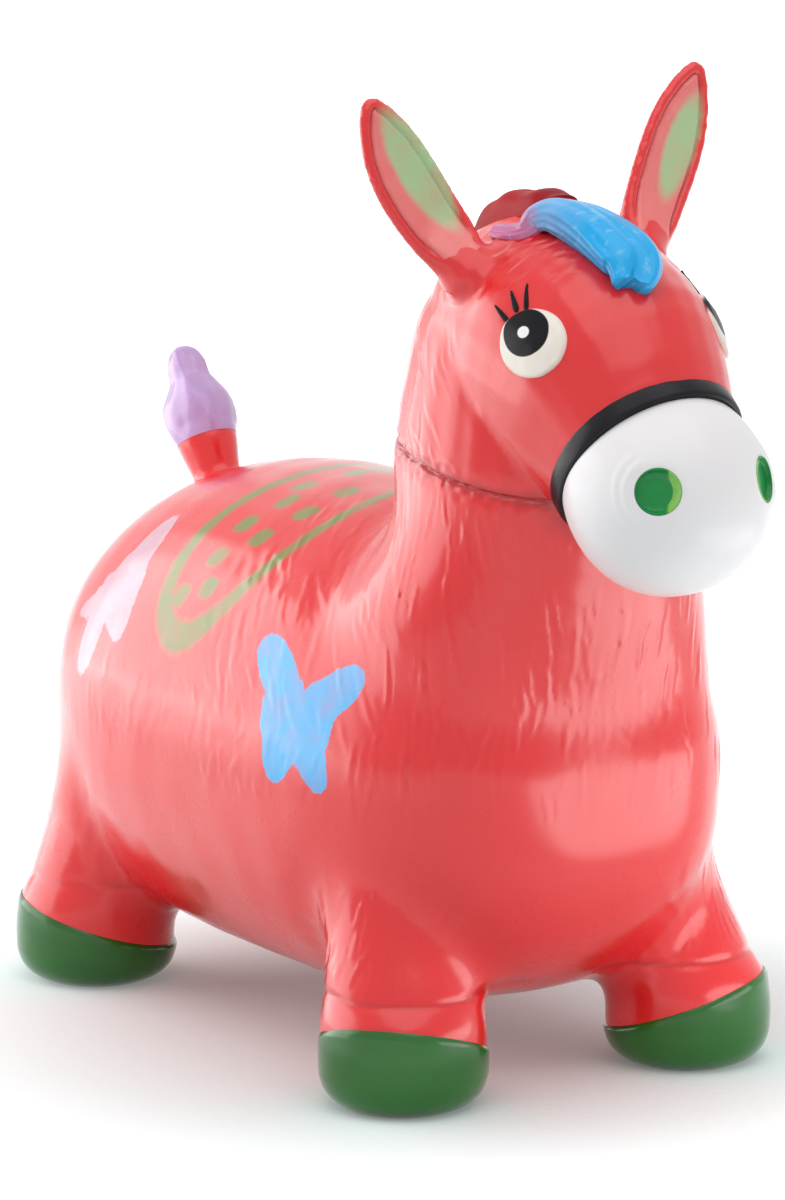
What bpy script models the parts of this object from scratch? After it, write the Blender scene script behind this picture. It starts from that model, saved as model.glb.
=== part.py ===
"""Inflatable bouncy horse, a hollow PVC ride-on toy for a small child.

Metres, +Z up. The horse stands on z = 0 and looks along -Y, so its left side is at +X.
The real toy is one moulded skin with a stopper in its valve. Here each region of the skin
is its own closed solid: the trunk, neck and head, the limbs that grow out of them, and the
features that are moulded on them. Neighbours are cut to each other with a thin clearance.
"""

from math import cos, pi, radians, sin

import bmesh
import bpy
from mathutils import Matrix, Vector

# Fits
CLEARANCE = 0.0003          # gap between two pieces that touch on the real toy
RUNNING_CLEARANCE = 0.0005  # gap around a root that turns in its socket

# Trunk
BODY_LENGTH = 0.441
BODY_WIDTH = 0.252
BODY_HEIGHT = 0.268
BELLY_CLEARANCE = 0.032     # from the ground to the belly
MUZZLE_OVERHANG = 0.109     # how far the muzzle reaches ahead of the chest
BODY_PLAN_SQUARENESS = 3.2  # superellipse powers: 2 is an ellipse, higher is boxier
BODY_BACK_LINE_SQUARENESS = 2.55
BODY_BELLY_LINE_SQUARENESS = 3.3
BODY_BACK_SQUARENESS = 2.02
BODY_BELLY_SQUARENESS = 2.6

# Head and neck
HEAD_LENGTH = 0.183
HEAD_WIDTH = 0.128
HEAD_HEIGHT = 0.143
HEAD_RISE = 0.091           # head centre above the back
HEAD_SETBACK = 0.037        # head centre behind the chest
HEAD_SQUARENESS = 2.15
NECK_WIDTH = 0.158
NECK_DEPTH = 0.150
SKULL_WIDTH = 0.147         # where the jaw crease parts the skull from the neck
SKULL_DEPTH = 0.163
CREASE_DROP = 0.059         # jaw crease below the head centre
CREASE_SLOPE = radians(9.0)  # it falls towards the throat

# Muzzle and noseband
MUZZLE_RADIUS = 0.0520
MUZZLE_WIDTH = 0.107
MUZZLE_ADVANCE = 0.025      # muzzle centre ahead of the noseband
MUZZLE_SQUARENESS = 2.15
FACE_TILT = radians(37.6)   # how far the muzzle points below level
NOSEBAND_WIDTH = 0.011
NOSEBAND_THICKNESS = 0.0020
NOSEBAND_SIDE_INSET = 0.0043  # the face is this much slimmer than the muzzle at the band
NOSEBAND_TOP_INSET = 0.0015
NOSTRIL_YAW = radians(52.0)   # turned to the side from where the muzzle points
NOSTRIL_PITCH = radians(37.5)  # and up

# Legs and hooves
LEG_SPREAD = 0.089          # leg centre from the mid plane
FORE_LEG_SETBACK = 0.054    # behind the chest
REAR_LEG_ADVANCE = 0.063    # ahead of the rump
LEG_RADIUS = 0.0435
LEG_GROOVE_HEIGHT = 0.060
LEG_GROOVE_DEPTH = 0.0013
HOOF_RADIUS = 0.0446
HOOF_HEIGHT = 0.0340        # at the leg's centre line
HOOF_SIDE_SLANT = radians(15.0)  # the coronet rises towards the outer side
FORE_HOOF_END_SLANT = radians(14.0)  # and away from the trunk's middle
REAR_HOOF_END_SLANT = radians(10.0)
LEG_SIDE_SPLAY = 0.28       # the legs spread downwards, as a slope outwards
FORE_LEG_END_SPLAY = 0.42   # and forwards
REAR_LEG_END_SPLAY = 0.18   # and backwards
SOLE_RADIUS = 0.0290

# Ears
EAR_PLACE = 0.42            # along the head, from the back of the skull to the noseband
EAR_ANGLE = radians(37.0)   # up around the head, from its side
EAR_LENGTH = {"left": 0.1090, "right": 0.1035}  # the soft ears differ a little
EAR_BOW = {"left": 0.0005, "right": 0.0045}     # how far the leaf bows outwards
EAR_WIDTH = 0.0368
EAR_THICKNESS = 0.0170
EAR_SCOOP = 0.0085
EAR_ROOT_RADIUS = 0.0165
EAR_LEAN = {"left": radians(28.0), "right": radians(27.5)}   # outwards
EAR_SWEEP = {"left": radians(9.5), "right": radians(14.0)}   # backwards
EAR_TURN = radians(-2.0)    # outwards, about the ear's own length

# Tail
TAIL_ROOT_RADIUS = 0.0145
TAIL_STEM_LENGTH = 0.030
TAIL_TUFT_LENGTH = 0.056
TAIL_TUFT_RADIUS = 0.0192
TAIL_LEAN = radians(31.0)   # backwards

# Small features
EYE_PLACE = 0.65            # along the head, as for the ears
EYE_ANGLE = radians(27.0)
EYE_RADIUS = 0.0178         # half its height; it is longer along the head
EYE_STRETCH = 1.17
EYE_RISE = 0.0022
EYE_SEAT_DEPTH = 0.0060
NOSTRIL_RADIUS = 0.0121
NOSTRIL_DEPTH = 0.0060
MANE_WIDTH = 0.027
MANE_RISE = 0.0120
FORELOCK_RADIUS = 0.0165    # half its width
FORELOCK_FLATNESS = 0.70
FORELOCK_LIFT = 0.0035      # its centre line above the head, more in the middle of the lock
FORELOCK_ARCH = 0.0040
FORELOCK_LOBES = 3
FORELOCK_TURNS = 0.9

# Valve in the belly
VALVE_BEHIND_CENTRE = 0.004
VALVE_SEAT_RADIUS = 0.0160
VALVE_SEAT_DEPTH = 0.0240
VALVE_SEAT_RISE = 0.0015
VALVE_BORE_RADIUS = 0.0046
PLUG_STEM_LENGTH = 0.0190
PLUG_HEAD_RADIUS = 0.0090
PLUG_HEAD_THICKNESS = 0.0028

# Facets
TRUNK_SIDES = 36
HEAD_SIDES = 28
LIMB_SIDES = 24
SMALL_SIDES = 16
EAR_SIDES = 20
TAIL_SIDES = 20

# Places worked out from the sizes above
BODY_REAR = (BODY_LENGTH + MUZZLE_OVERHANG) / 2
BODY_FRONT = BODY_REAR - BODY_LENGTH
BODY_MIDDLE = (BODY_FRONT + BODY_REAR) / 2
BODY_CENTRE_HEIGHT = BELLY_CLEARANCE + BODY_HEIGHT / 2
BACK_HEIGHT = BELLY_CLEARANCE + BODY_HEIGHT
HEAD_CENTRE = Vector((0.0, BODY_FRONT + HEAD_SETBACK, BACK_HEIGHT + HEAD_RISE))

RED = (0.78, 0.045, 0.045)
DARK_RED = (0.42, 0.012, 0.014)
GREEN = (0.045, 0.26, 0.05)
NOSTRIL_GREEN = (0.0, 0.27, 0.055)
WHITE = (0.90, 0.88, 0.88)
CREAM = (0.86, 0.80, 0.70)
BLACK = (0.012, 0.012, 0.013)
BLUE = (0.0, 0.42, 0.80)
PURPLE = (0.42, 0.20, 0.52)
STOPPER_WHITE = (0.75, 0.75, 0.72)


def clear_scene():
    for item in list(bpy.data.objects):
        bpy.data.objects.remove(item, do_unlink=True)


def paint(item, colour, roughness=0.3):
    """Give a sub-part its own material."""
    material = bpy.data.materials.new(item.name)
    material.use_nodes = True
    shader = material.node_tree.nodes["Principled BSDF"]
    shader.inputs["Base Color"].default_value = (*colour, 1.0)
    shader.inputs["Roughness"].default_value = roughness
    shader.inputs["Metallic"].default_value = 0.0
    item.data.materials.clear()
    item.data.materials.append(material)


def superellipse_radius(place, power):
    """Height at a place from -1 to 1 along a superellipse of unit half-sizes."""
    return max(0.0, 1.0 - abs(place) ** power) ** (1.0 / power)


def signed_power(value, power):
    return abs(value) ** power * (1.0 if value >= 0.0 else -1.0)


def ring(centre, side, lift, half_side, half_lift, sides, power=2.0, below=None, lower_power=None):
    """A closed row of points around a centre, in the plane of two unit vectors.

    The lower half can have its own depth, below, and its own squareness.
    """
    points = []
    for step in range(sides):
        angle = 2.0 * pi * step / sides
        upper = sin(angle) >= 0.0
        bend = 2.0 / (power if upper or not lower_power else lower_power)
        reach = half_lift if upper or not below else below
        across = half_side * signed_power(cos(angle), bend)
        along = reach * signed_power(sin(angle), bend)
        points.append(centre + side * across + lift * along)
    return points


def catmull_rom(values, place):
    """Smooth value at a place from 0 to 1 along a row of tuples."""
    spans = len(values) - 1
    position = min(max(place, 0.0), 1.0) * spans
    first = min(int(position), spans - 1)
    part = position - first
    before = values[max(first - 1, 0)]
    start = values[first]
    end = values[first + 1]
    after = values[min(first + 2, spans)]
    smooth = []
    for a, b, c, d in zip(before, start, end, after):
        slope_in = (c - a) / 2.0
        slope_out = (d - b) / 2.0
        cubic = 2.0 * (b - c) + slope_in + slope_out
        square = 3.0 * (c - b) - 2.0 * slope_in - slope_out
        smooth.append(((cubic * part + square) * part + slope_in) * part + b)
    return smooth


def loft(name, rings, start_tip=None, end_tip=None):
    """A closed solid through rows of points, ended by a tip or by a flat face."""
    shape = bmesh.new()
    rows = [[shape.verts.new(point) for point in row] for row in rings]
    count = len(rows[0])
    for low, high in zip(rows, rows[1:]):
        for step in range(count):
            after = (step + 1) % count
            shape.faces.new((low[step], low[after], high[after], high[step]))
    for row, tip in ((rows[0], start_tip), (rows[-1], end_tip)):
        if tip is None:
            shape.faces.new(row)
            continue
        point = shape.verts.new(tip)
        for step in range(count):
            shape.faces.new((row[step], row[(step + 1) % count], point))
    bmesh.ops.recalc_face_normals(shape, faces=shape.faces)
    mesh = bpy.data.meshes.new(name)
    shape.to_mesh(mesh)
    shape.free()
    for face in mesh.polygons:
        face.use_smooth = len(face.vertices) <= 4
    item = bpy.data.objects.new(name, mesh)
    bpy.context.collection.objects.link(item)
    return item


def lathe(name, outline, sides):
    """A closed solid of revolution about Z from (radius, height) points, end radii 0."""
    rows = [
        ring(Vector((0.0, 0.0, height)), Vector((1, 0, 0)), Vector((0, 1, 0)), radius, radius, sides)
        for radius, height in outline[1:-1]
    ]
    return loft(name, rows, Vector((0, 0, outline[0][1])), Vector((0, 0, outline[-1][1])))


def as_cutter(item):
    item.hide_render = True
    item.display_type = "WIRE"
    return item


def grown_cutter(item, clearance=CLEARANCE):
    """A copy of a form, grown all round, which cuts the pieces that sit on it."""
    mesh = item.data.copy()
    moved = [vertex.co + vertex.normal * clearance for vertex in mesh.vertices]
    for vertex, place in zip(mesh.vertices, moved):
        vertex.co = place
    cutter = bpy.data.objects.new(item.name + "_cutter", mesh)
    cutter.matrix_world = item.matrix_world
    bpy.context.collection.objects.link(cutter)
    return as_cutter(cutter)


def sphere_cutter(name, centre, radius):
    outline = [(radius * sin(pi * step / SMALL_SIDES), -radius * cos(pi * step / SMALL_SIDES))
               for step in range(SMALL_SIDES + 1)]
    cutter = lathe(name, outline, LIMB_SIDES)
    cutter.location = centre
    return as_cutter(cutter)


def cut(item, *cutters):
    for cutter in cutters:
        modifier = item.modifiers.new("cut by " + cutter.name, "BOOLEAN")
        modifier.operation = "DIFFERENCE"
        modifier.solver = "EXACT"
        modifier.object = cutter


def trim_to_plane(item, point, outward):
    """Cut away what lies beyond a plane and close the solid with a flat face."""
    shape = bmesh.new()
    shape.from_mesh(item.data)
    everything = shape.verts[:] + shape.edges[:] + shape.faces[:]
    result = bmesh.ops.bisect_plane(
        shape, geom=everything, plane_co=point, plane_no=outward, clear_outer=True)
    rim = [part for part in result["geom_cut"] if isinstance(part, bmesh.types.BMEdge)]
    closed = bmesh.ops.contextual_create(shape, geom=rim)
    for face in closed["faces"]:
        face.smooth = False
    bmesh.ops.recalc_face_normals(shape, faces=shape.faces)
    shape.to_mesh(item.data)
    shape.free()


def body_section(place):
    """Half-width, rise and drop of the trunk at a place from -1 (chest) to 1 (rump)."""
    half_width = BODY_WIDTH / 2 * superellipse_radius(place, BODY_PLAN_SQUARENESS)
    rise = BODY_HEIGHT / 2 * superellipse_radius(place, BODY_BACK_LINE_SQUARENESS)
    drop = BODY_HEIGHT / 2 * superellipse_radius(place, BODY_BELLY_LINE_SQUARENESS)
    return half_width, rise, drop


def body_height_at(y, upper):
    """Height of the back or the belly above the ground, on the mid plane."""
    _, rise, drop = body_section((y - BODY_MIDDLE) / (BODY_LENGTH / 2))
    return BODY_CENTRE_HEIGHT + (rise if upper else -drop)


def make_torso():
    rings = []
    stations = 24
    for step in range(1, stations):
        angle = pi * step / stations
        place = -signed_power(cos(angle), 0.72)
        half_width, rise, drop = body_section(place)
        centre = Vector((0.0, BODY_MIDDLE + place * BODY_LENGTH / 2, BODY_CENTRE_HEIGHT))
        rings.append(ring(centre, Vector((1, 0, 0)), Vector((0, 0, 1)), half_width, rise,
                          TRUNK_SIDES, BODY_BACK_SQUARENESS, drop, BODY_BELLY_SQUARENESS))
    torso = loft("torso", rings, Vector((0.0, BODY_FRONT, BODY_CENTRE_HEIGHT)),
                 Vector((0.0, BODY_REAR, BODY_CENTRE_HEIGHT)))
    paint(torso, RED)
    return torso


def head_stations():
    """Head sections from the back of the skull to the noseband: y, z, tilt, half-height, half-width."""
    back = HEAD_LENGTH
    high = HEAD_HEIGHT / 2
    wide = HEAD_WIDTH / 2
    band_side = MUZZLE_WIDTH / 2 - NOSEBAND_SIDE_INSET
    band_lift = MUZZLE_RADIUS - NOSEBAND_TOP_INSET
    middle = HEAD_CENTRE
    return [
        (middle.y + 0.420 * back, middle.z + 0.004, 0.0, 0.48 * high, 0.44 * wide),
        (middle.y + 0.330 * back, middle.z + 0.004, 0.0, 0.76 * high, 0.74 * wide),
        (middle.y + 0.190 * back, middle.z + 0.003, 0.0, 0.93 * high, 0.93 * wide),
        (middle.y - 0.022 * back, middle.z, radians(9.0), high, wide),
        (middle.y - 0.230 * back, middle.z - 0.014, radians(24.0), 0.965 * high, 0.95 * wide),
        (middle.y - 0.340 * back, middle.z - 0.029, radians(32.0), 0.835 * high, 0.85 * wide),
        (middle.y - 0.410 * back, middle.z - 0.042, FACE_TILT, band_lift, band_side),
    ]


def head_section(place):
    """Centre, side and lift vectors and half-sizes of the head at a place from 0 to 1."""
    y, z, tilt, half_height, half_width = catmull_rom(head_stations(), place)
    lift = Vector((0.0, -sin(tilt), cos(tilt)))
    return Vector((0.0, y, z)), Vector((1, 0, 0)), lift, half_width, half_height


def head_point(place, angle):
    """A point of the head's surface and the direction that it faces."""
    def point(along, around):
        centre, side, lift, half_width, half_height = head_section(along)
        across = half_width * signed_power(cos(around), 2.0 / HEAD_SQUARENESS)
        up = half_height * signed_power(sin(around), 2.0 / HEAD_SQUARENESS)
        return centre + side * across + lift * up
    small = 0.01
    here = point(place, angle)
    forward = point(place + small, angle) - point(place - small, angle)
    around = point(place, angle + small) - point(place, angle - small)
    facing = forward.cross(around).normalized()
    centre = head_section(place)[0]
    if facing.dot(here - centre) < 0.0:
        facing.negate()
    return here, facing


def make_face():
    """The front of the head: forehead and cheeks, narrowing to the noseband."""
    stations = 16
    rings = []
    for step in range(stations + 1):
        centre, side, lift, half_width, half_height = head_section(step / stations)
        rings.append(ring(centre, side, lift, half_width, half_height, HEAD_SIDES, HEAD_SQUARENESS))
    first = head_stations()[0]
    return loft("head", rings, Vector((0.0, first[0] + 0.0065, first[1])))


def column_stations():
    """Neck and skull as one upright column: y, z, half-depth, half-width, from the chest up."""
    wide = NECK_WIDTH / 2
    deep = NECK_DEPTH / 2
    middle = HEAD_CENTRE.z
    skull_wide = SKULL_WIDTH / 2
    skull_deep = SKULL_DEPTH / 2
    skull_y = HEAD_CENTRE.y + 0.022
    return [
        (BODY_FRONT + 0.100, BODY_CENTRE_HEIGHT + 0.020, 1.24 * deep, 1.30 * wide),
        (BODY_FRONT + 0.083, BACK_HEIGHT - 0.053, 1.17 * deep, 1.25 * wide),
        (BODY_FRONT + 0.060, BACK_HEIGHT - 0.004, deep, wide),
        (skull_y, middle - 0.053, skull_deep, skull_wide),
        (skull_y, middle - 0.008, 0.91 * skull_deep, 0.90 * skull_wide),
        (skull_y - 0.001, middle + 0.022, 0.81 * skull_deep, 0.79 * skull_wide),
        (skull_y - 0.003, middle + 0.047, 0.56 * skull_deep, 0.54 * skull_wide),
        (skull_y - 0.004, middle + 0.056, 0.36 * skull_deep, 0.34 * skull_wide),
    ]


def column_loft(name):
    rings = []
    steps = 23
    for step in range(steps + 1):
        y, z, half_depth, half_width = catmull_rom(column_stations(), step / steps)
        rings.append(ring(Vector((0.0, y, z)), Vector((1, 0, 0)), Vector((0, 1, 0)),
                          half_width, half_depth, HEAD_SIDES, HEAD_SQUARENESS))
    last = column_stations()[-1]
    return loft(name, rings, end_tip=Vector((0.0, last[0], last[1] + 0.004)))


def crease_plane(gap):
    """A point of the plane that parts head and neck, and its upward normal."""
    normal = Vector((0.0, -sin(CREASE_SLOPE), cos(CREASE_SLOPE)))
    return HEAD_CENTRE - Vector((0.0, 0.0, CREASE_DROP)) + normal * gap, normal


def make_head_and_neck():
    """The face is joined to the skull; the neck is the column below the jaw crease."""
    face = make_face()
    skull = column_loft("skull")
    neck = column_loft("neck")
    point, normal = crease_plane(CLEARANCE)
    trim_to_plane(skull, point, -normal)
    trim_to_plane(neck, crease_plane(0.0)[0], normal)
    column_cutter = grown_cutter(column_loft("column"))
    bpy.data.objects.remove(bpy.data.objects["column"])
    face_cutter = grown_cutter(face)
    join = face.modifiers.new("join skull", "BOOLEAN")
    join.operation = "UNION"
    join.solver = "EXACT"
    join.object = as_cutter(skull)
    paint(face, RED)
    paint(neck, RED)
    return face, neck, face_cutter, column_cutter


def muzzle_axes():
    """Centre of the noseband plane, the way the muzzle points, and its lift."""
    centre = head_section(1.0)[0]
    forward = Vector((0.0, -cos(FACE_TILT), -sin(FACE_TILT)))
    lift = Vector((0.0, -sin(FACE_TILT), cos(FACE_TILT)))
    return centre, forward, lift


def make_muzzle():
    centre, forward, lift = muzzle_axes()
    middle = centre + forward * MUZZLE_ADVANCE
    rings = []
    steps = 13
    start = -(MUZZLE_ADVANCE - CLEARANCE) / MUZZLE_RADIUS
    for step in range(steps):
        place = start + (1.0 - start) * sin(pi / 2 * step / steps)
        size = superellipse_radius(place, MUZZLE_SQUARENESS)
        rings.append(ring(middle + forward * (place * MUZZLE_RADIUS), Vector((1, 0, 0)), lift,
                          MUZZLE_WIDTH / 2 * size, MUZZLE_RADIUS * size, HEAD_SIDES))
    muzzle = loft("muzzle", rings, end_tip=middle + forward * MUZZLE_RADIUS)
    paint(muzzle, WHITE)
    return muzzle


def muzzle_point(yaw, pitch):
    """A point of the muzzle's surface, turned to a side and up from where it points."""
    centre, forward, lift = muzzle_axes()
    middle = centre + forward * MUZZLE_ADVANCE
    facing = forward * (cos(yaw) * cos(pitch)) + Vector((1, 0, 0)) * (sin(yaw) * cos(pitch))
    facing += lift * sin(pitch)
    low, high = 0.0, 2.0 * MUZZLE_RADIUS
    for _ in range(30):
        reach = (low + high) / 2
        across = reach * facing.x / (MUZZLE_WIDTH / 2)
        up = reach * facing.dot(lift) / MUZZLE_RADIUS
        along = reach * facing.dot(forward) / MUZZLE_RADIUS
        size = superellipse_radius(min(1.0, abs(along)), MUZZLE_SQUARENESS)
        inside = across ** 2 + up ** 2 < size ** 2
        low, high = (reach, high) if inside else (low, reach)
    return middle + facing * low, facing


def make_noseband(*cutters):
    """A strap round the joint of head and muzzle, which ends where the throat begins."""
    centre, forward, lift = muzzle_axes()
    rings = []
    for along, rise in ((-0.5, -0.6), (-0.42, 0.6), (-0.2, 1.0), (0.2, 1.0), (0.42, 0.6), (0.5, -0.6)):
        half_side = MUZZLE_WIDTH / 2 - NOSEBAND_SIDE_INSET + rise * NOSEBAND_THICKNESS
        half_lift = MUZZLE_RADIUS - NOSEBAND_TOP_INSET + rise * NOSEBAND_THICKNESS
        rings.append(ring(centre + forward * (along * NOSEBAND_WIDTH), Vector((1, 0, 0)), lift,
                          half_side, half_lift, HEAD_SIDES, HEAD_SQUARENESS))
    noseband = loft("noseband", rings)
    paint(noseband, BLACK)
    cut(noseband, *cutters)


def coronet(side, leg_y, inward_y, gap):
    """A point of the slanted plane between leg and hoof, and the plane's upward normal."""
    end_slant = FORE_HOOF_END_SLANT if inward_y > 0 else REAR_HOOF_END_SLANT
    normal = Vector((-side * sin(HOOF_SIDE_SLANT), inward_y * sin(end_slant), 1.0)).normalized()
    return Vector((side * LEG_SPREAD, leg_y, HOOF_HEIGHT)) + normal * gap, normal


def make_leg(name, side, leg_y, inward_y, end_splay, torso_cutter):
    """A short leg spreads downwards out of the trunk: rows of height and radius."""
    groove = LEG_GROOVE_HEIGHT
    root = BODY_CENTRE_HEIGHT
    bend = HOOF_HEIGHT + 0.008
    stations = [
        (HOOF_HEIGHT - 0.020, LEG_RADIUS),
        (bend, LEG_RADIUS),
        (groove - 0.0032, LEG_RADIUS - 0.0012),
        (groove - 0.0013, LEG_RADIUS - 0.0013 - LEG_GROOVE_DEPTH),
        (groove + 0.0013, LEG_RADIUS - 0.0015 - LEG_GROOVE_DEPTH),
        (groove + 0.0032, LEG_RADIUS - 0.0016),
        (root - 0.086, LEG_RADIUS - 0.0018),
        (root - 0.068, LEG_RADIUS),
        (root - 0.050, LEG_RADIUS + 0.0035),
        (root - 0.032, LEG_RADIUS + 0.0070),
        (root - 0.012, LEG_RADIUS + 0.0080),
    ]
    rings = []
    for height, radius in stations:
        climb = max(0.0, height - bend)
        centre = Vector((side * (LEG_SPREAD - LEG_SIDE_SPLAY * climb),
                         leg_y + inward_y * end_splay * climb, height))
        rings.append(ring(centre, Vector((1, 0, 0)), Vector((0, 1, 0)), radius, radius, LIMB_SIDES))
    leg = loft(name, rings)
    point, normal = coronet(side, leg_y, inward_y, CLEARANCE)
    trim_to_plane(leg, point, -normal)
    paint(leg, RED)
    cut(leg, torso_cutter)
    return leg


def make_hoof(name, side, leg_y, inward_y):
    # Shares of the hoof's height and radius, from the sole up
    outline = [(0.0, SOLE_RADIUS / HOOF_RADIUS), (0.10, 0.81), (0.25, 0.925), (0.45, 0.985), (0.65, 1.0),
               (0.95, 1.0), (1.25, 0.975), (1.80, 0.93)]
    rings = []
    for height_share, radius_share in outline:
        radius = radius_share * HOOF_RADIUS
        centre = Vector((side * LEG_SPREAD, leg_y, height_share * HOOF_HEIGHT))
        rings.append(ring(centre, Vector((1, 0, 0)), Vector((0, 1, 0)), radius, radius, LIMB_SIDES))
    hoof = loft(name, rings)
    point, normal = coronet(side, leg_y, inward_y, 0.0)
    trim_to_plane(hoof, point, normal)
    paint(hoof, GREEN)
    return hoof


def make_ear(hand, side):
    """A hollowed leaf on a round root, modelled upright about the root's centre."""
    length = EAR_LENGTH[hand]
    across, through = Vector((1, 0, 0)), Vector((0, 1, 0))
    rings = []
    for step in range(1, 6):
        angle = pi / 2 * step / 5
        reach = EAR_ROOT_RADIUS * sin(angle)
        centre = Vector((0, 0, -EAR_ROOT_RADIUS * cos(angle)))
        rings.append(ring(centre, across, through, reach, reach, EAR_SIDES))
    # Along the leaf, its width and thickness, and how far its face is hollowed
    blade = [
        (0.06, 0.80, 1.60, 0.0), (0.17, 0.88, 1.12, 0.25), (0.30, 0.95, 0.92, 0.75),
        (0.45, 0.99, 1.0, 1.0), (0.60, 0.98, 0.96, 1.0), (0.74, 0.86, 0.84, 0.85),
        (0.86, 0.63, 0.66, 0.5), (0.94, 0.40, 0.46, 0.2), (0.985, 0.20, 0.24, 0.0),
    ]
    steps = 14
    for step in range(steps + 1):
        along, width, thickness, hollow = catmull_rom(blade, step / steps)
        half_width = EAR_WIDTH / 2 * width
        middle = side * EAR_BOW[hand] * sin(pi * along)
        row = ring(Vector((middle, 0, along * length)), across, through,
                   half_width, EAR_THICKNESS / 2 * thickness, EAR_SIDES)
        for point in row:
            if point.y < 0.0:
                inward = 1.0 - min(1.0, abs(point.x - middle) / half_width) ** 2
                point.y += EAR_SCOOP * hollow * inward
        rings.append(row)
    ear = loft(f"ear_{hand}", rings, Vector((0, 0, -EAR_ROOT_RADIUS)), Vector((0, 0, length)))
    root, _ = head_point(EAR_PLACE, EAR_ANGLE)
    root.x *= side
    ear.matrix_world = (
        Matrix.Translation(root)
        @ Matrix.Rotation(side * EAR_LEAN[hand], 4, "Y")
        @ Matrix.Rotation(-EAR_SWEEP[hand], 4, "X")
        @ Matrix.Rotation(side * EAR_TURN, 4, "Z")
    )
    paint(ear, RED)
    return ear


def looking_along(direction):
    """Rotation that turns +Z to a direction and keeps +Y as near to up as it can."""
    return direction.to_track_quat("Z", "Y").to_matrix().to_4x4()


def make_eye(name, side, head_cutter):
    outline = [(0.0, -EYE_SEAT_DEPTH), (EYE_RADIUS, -EYE_SEAT_DEPTH), (EYE_RADIUS, EYE_RISE * 0.15),
               (0.93 * EYE_RADIUS, EYE_RISE * 0.62), (0.72 * EYE_RADIUS, EYE_RISE * 0.9),
               (0.40 * EYE_RADIUS, EYE_RISE), (0.0, EYE_RISE * 1.02)]
    eye = lathe(name, outline, LIMB_SIDES)
    place, facing = head_point(EYE_PLACE, EYE_ANGLE)
    place.x *= side
    facing.x *= side
    stretch = Matrix.Diagonal((EYE_STRETCH, 1.0, 1.0, 1.0))
    eye.data.transform(stretch)
    eye.matrix_world = Matrix.Translation(place) @ looking_along(facing)
    paint(eye, CREAM, 0.25)
    cut(eye, head_cutter)
    return eye


def make_nostril(name, side, muzzle):
    """A dished cup in a round recess of the muzzle."""
    place, facing = muzzle_point(side * NOSTRIL_YAW, NOSTRIL_PITCH)
    turn = Matrix.Translation(place) @ looking_along(facing)
    recess = lathe(name + "_recess", [
        (0.0, -NOSTRIL_DEPTH), (NOSTRIL_RADIUS, -NOSTRIL_DEPTH), (NOSTRIL_RADIUS, 0.0200), (0.0, 0.0200),
    ], LIMB_SIDES)
    recess.matrix_world = turn
    cut(muzzle, as_cutter(recess))
    rim = NOSTRIL_RADIUS - CLEARANCE
    floor = -NOSTRIL_DEPTH + CLEARANCE
    cup = lathe(name, [
        (0.0, floor), (rim, floor), (rim, -0.0012), (0.93 * rim, -0.0006), (0.86 * rim, -0.0012),
        (0.78 * rim, -0.0032), (0.45 * rim, -0.0040), (0.0, -0.0042),
    ], LIMB_SIDES)
    cup.matrix_world = turn
    paint(cup, NOSTRIL_GREEN)
    return cup


def swept_rows(path, count, sides, shape_at):
    """Rows of points across a smooth path; shape_at gives the half-sizes and power there."""
    rows = []
    for step in range(count + 1):
        place = step / count
        here = Vector(catmull_rom(path, place))
        ahead = Vector(catmull_rom(path, min(1.0, place + 0.01)))
        behind = Vector(catmull_rom(path, max(0.0, place - 0.01)))
        along = (ahead - behind).normalized()
        outward = (here - HEAD_CENTRE).normalized()
        side = along.cross(outward).normalized()
        lift = side.cross(along).normalized()
        rows.append(shape_at(place, here, side, lift, sides))
    return rows


def make_mane(cutters):
    """A rounded crest from the poll over the skull and down the back of the neck."""
    sections = [head_section(place) for place in (0.50, 0.40, 0.29, 0.18)]
    path = [tuple(centre + lift * (half_height + 0.0005)) for centre, _, lift, _, half_height in sections]
    for place in (0.76, 0.68, 0.59, 0.50, 0.42, 0.34):
        y, z, half_depth, _ = catmull_rom(column_stations(), place)
        path.append((0.0, y + half_depth, z))

    def shape_at(place, here, side, lift, sides):
        taper = superellipse_radius(2.0 * place - 1.0, 5.0)
        wave = 1.0 + 0.08 * cos(2.0 * pi * 9.0 * place)
        return ring(here, side, lift, MANE_WIDTH / 2 * (0.55 + 0.45 * taper),
                    MANE_RISE * wave * (0.45 + 0.55 * taper), sides, 2.6)

    rows = swept_rows(path, 32, 12, shape_at)
    mane = loft("mane", rows)
    paint(mane, DARK_RED)
    cut(mane, *cutters)
    return mane


def make_forelock(cutters):
    """A twisted lock that lies over the poll and ends on the forehead."""
    places = ((0.46, 114.0), (0.475, 107.0), (0.50, 102.0), (0.545, 98.0), (0.60, 95.0), (0.65, 94.0),
              (0.695, 99.0))
    path = []
    for step, (place, angle) in enumerate(places):
        point, facing = head_point(place, radians(angle))
        arch = FORELOCK_ARCH * sin(pi * step / (len(places) - 1))
        path.append(tuple(point + facing * (FORELOCK_LIFT + arch)))

    def shape_at(place, here, side, lift, sides):
        swell = catmull_rom([(0.30,), (0.48,), (0.66,), (0.84,), (1.0,), (0.88,), (0.40,)], place)[0]
        row = []
        for step in range(sides):
            angle = 2.0 * pi * step / sides
            lobe = 1.0 + 0.11 * cos(FORELOCK_LOBES * angle + 2.0 * pi * FORELOCK_TURNS * place)
            reach = FORELOCK_RADIUS * swell * lobe
            row.append(here + side * (reach * cos(angle)) + lift * (reach * FORELOCK_FLATNESS * sin(angle)))
        return row

    rows = swept_rows(path, 18, 15, shape_at)
    forelock = loft("forelock", rows)
    paint(forelock, BLUE)
    cut(forelock, *cutters)
    return forelock


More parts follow.
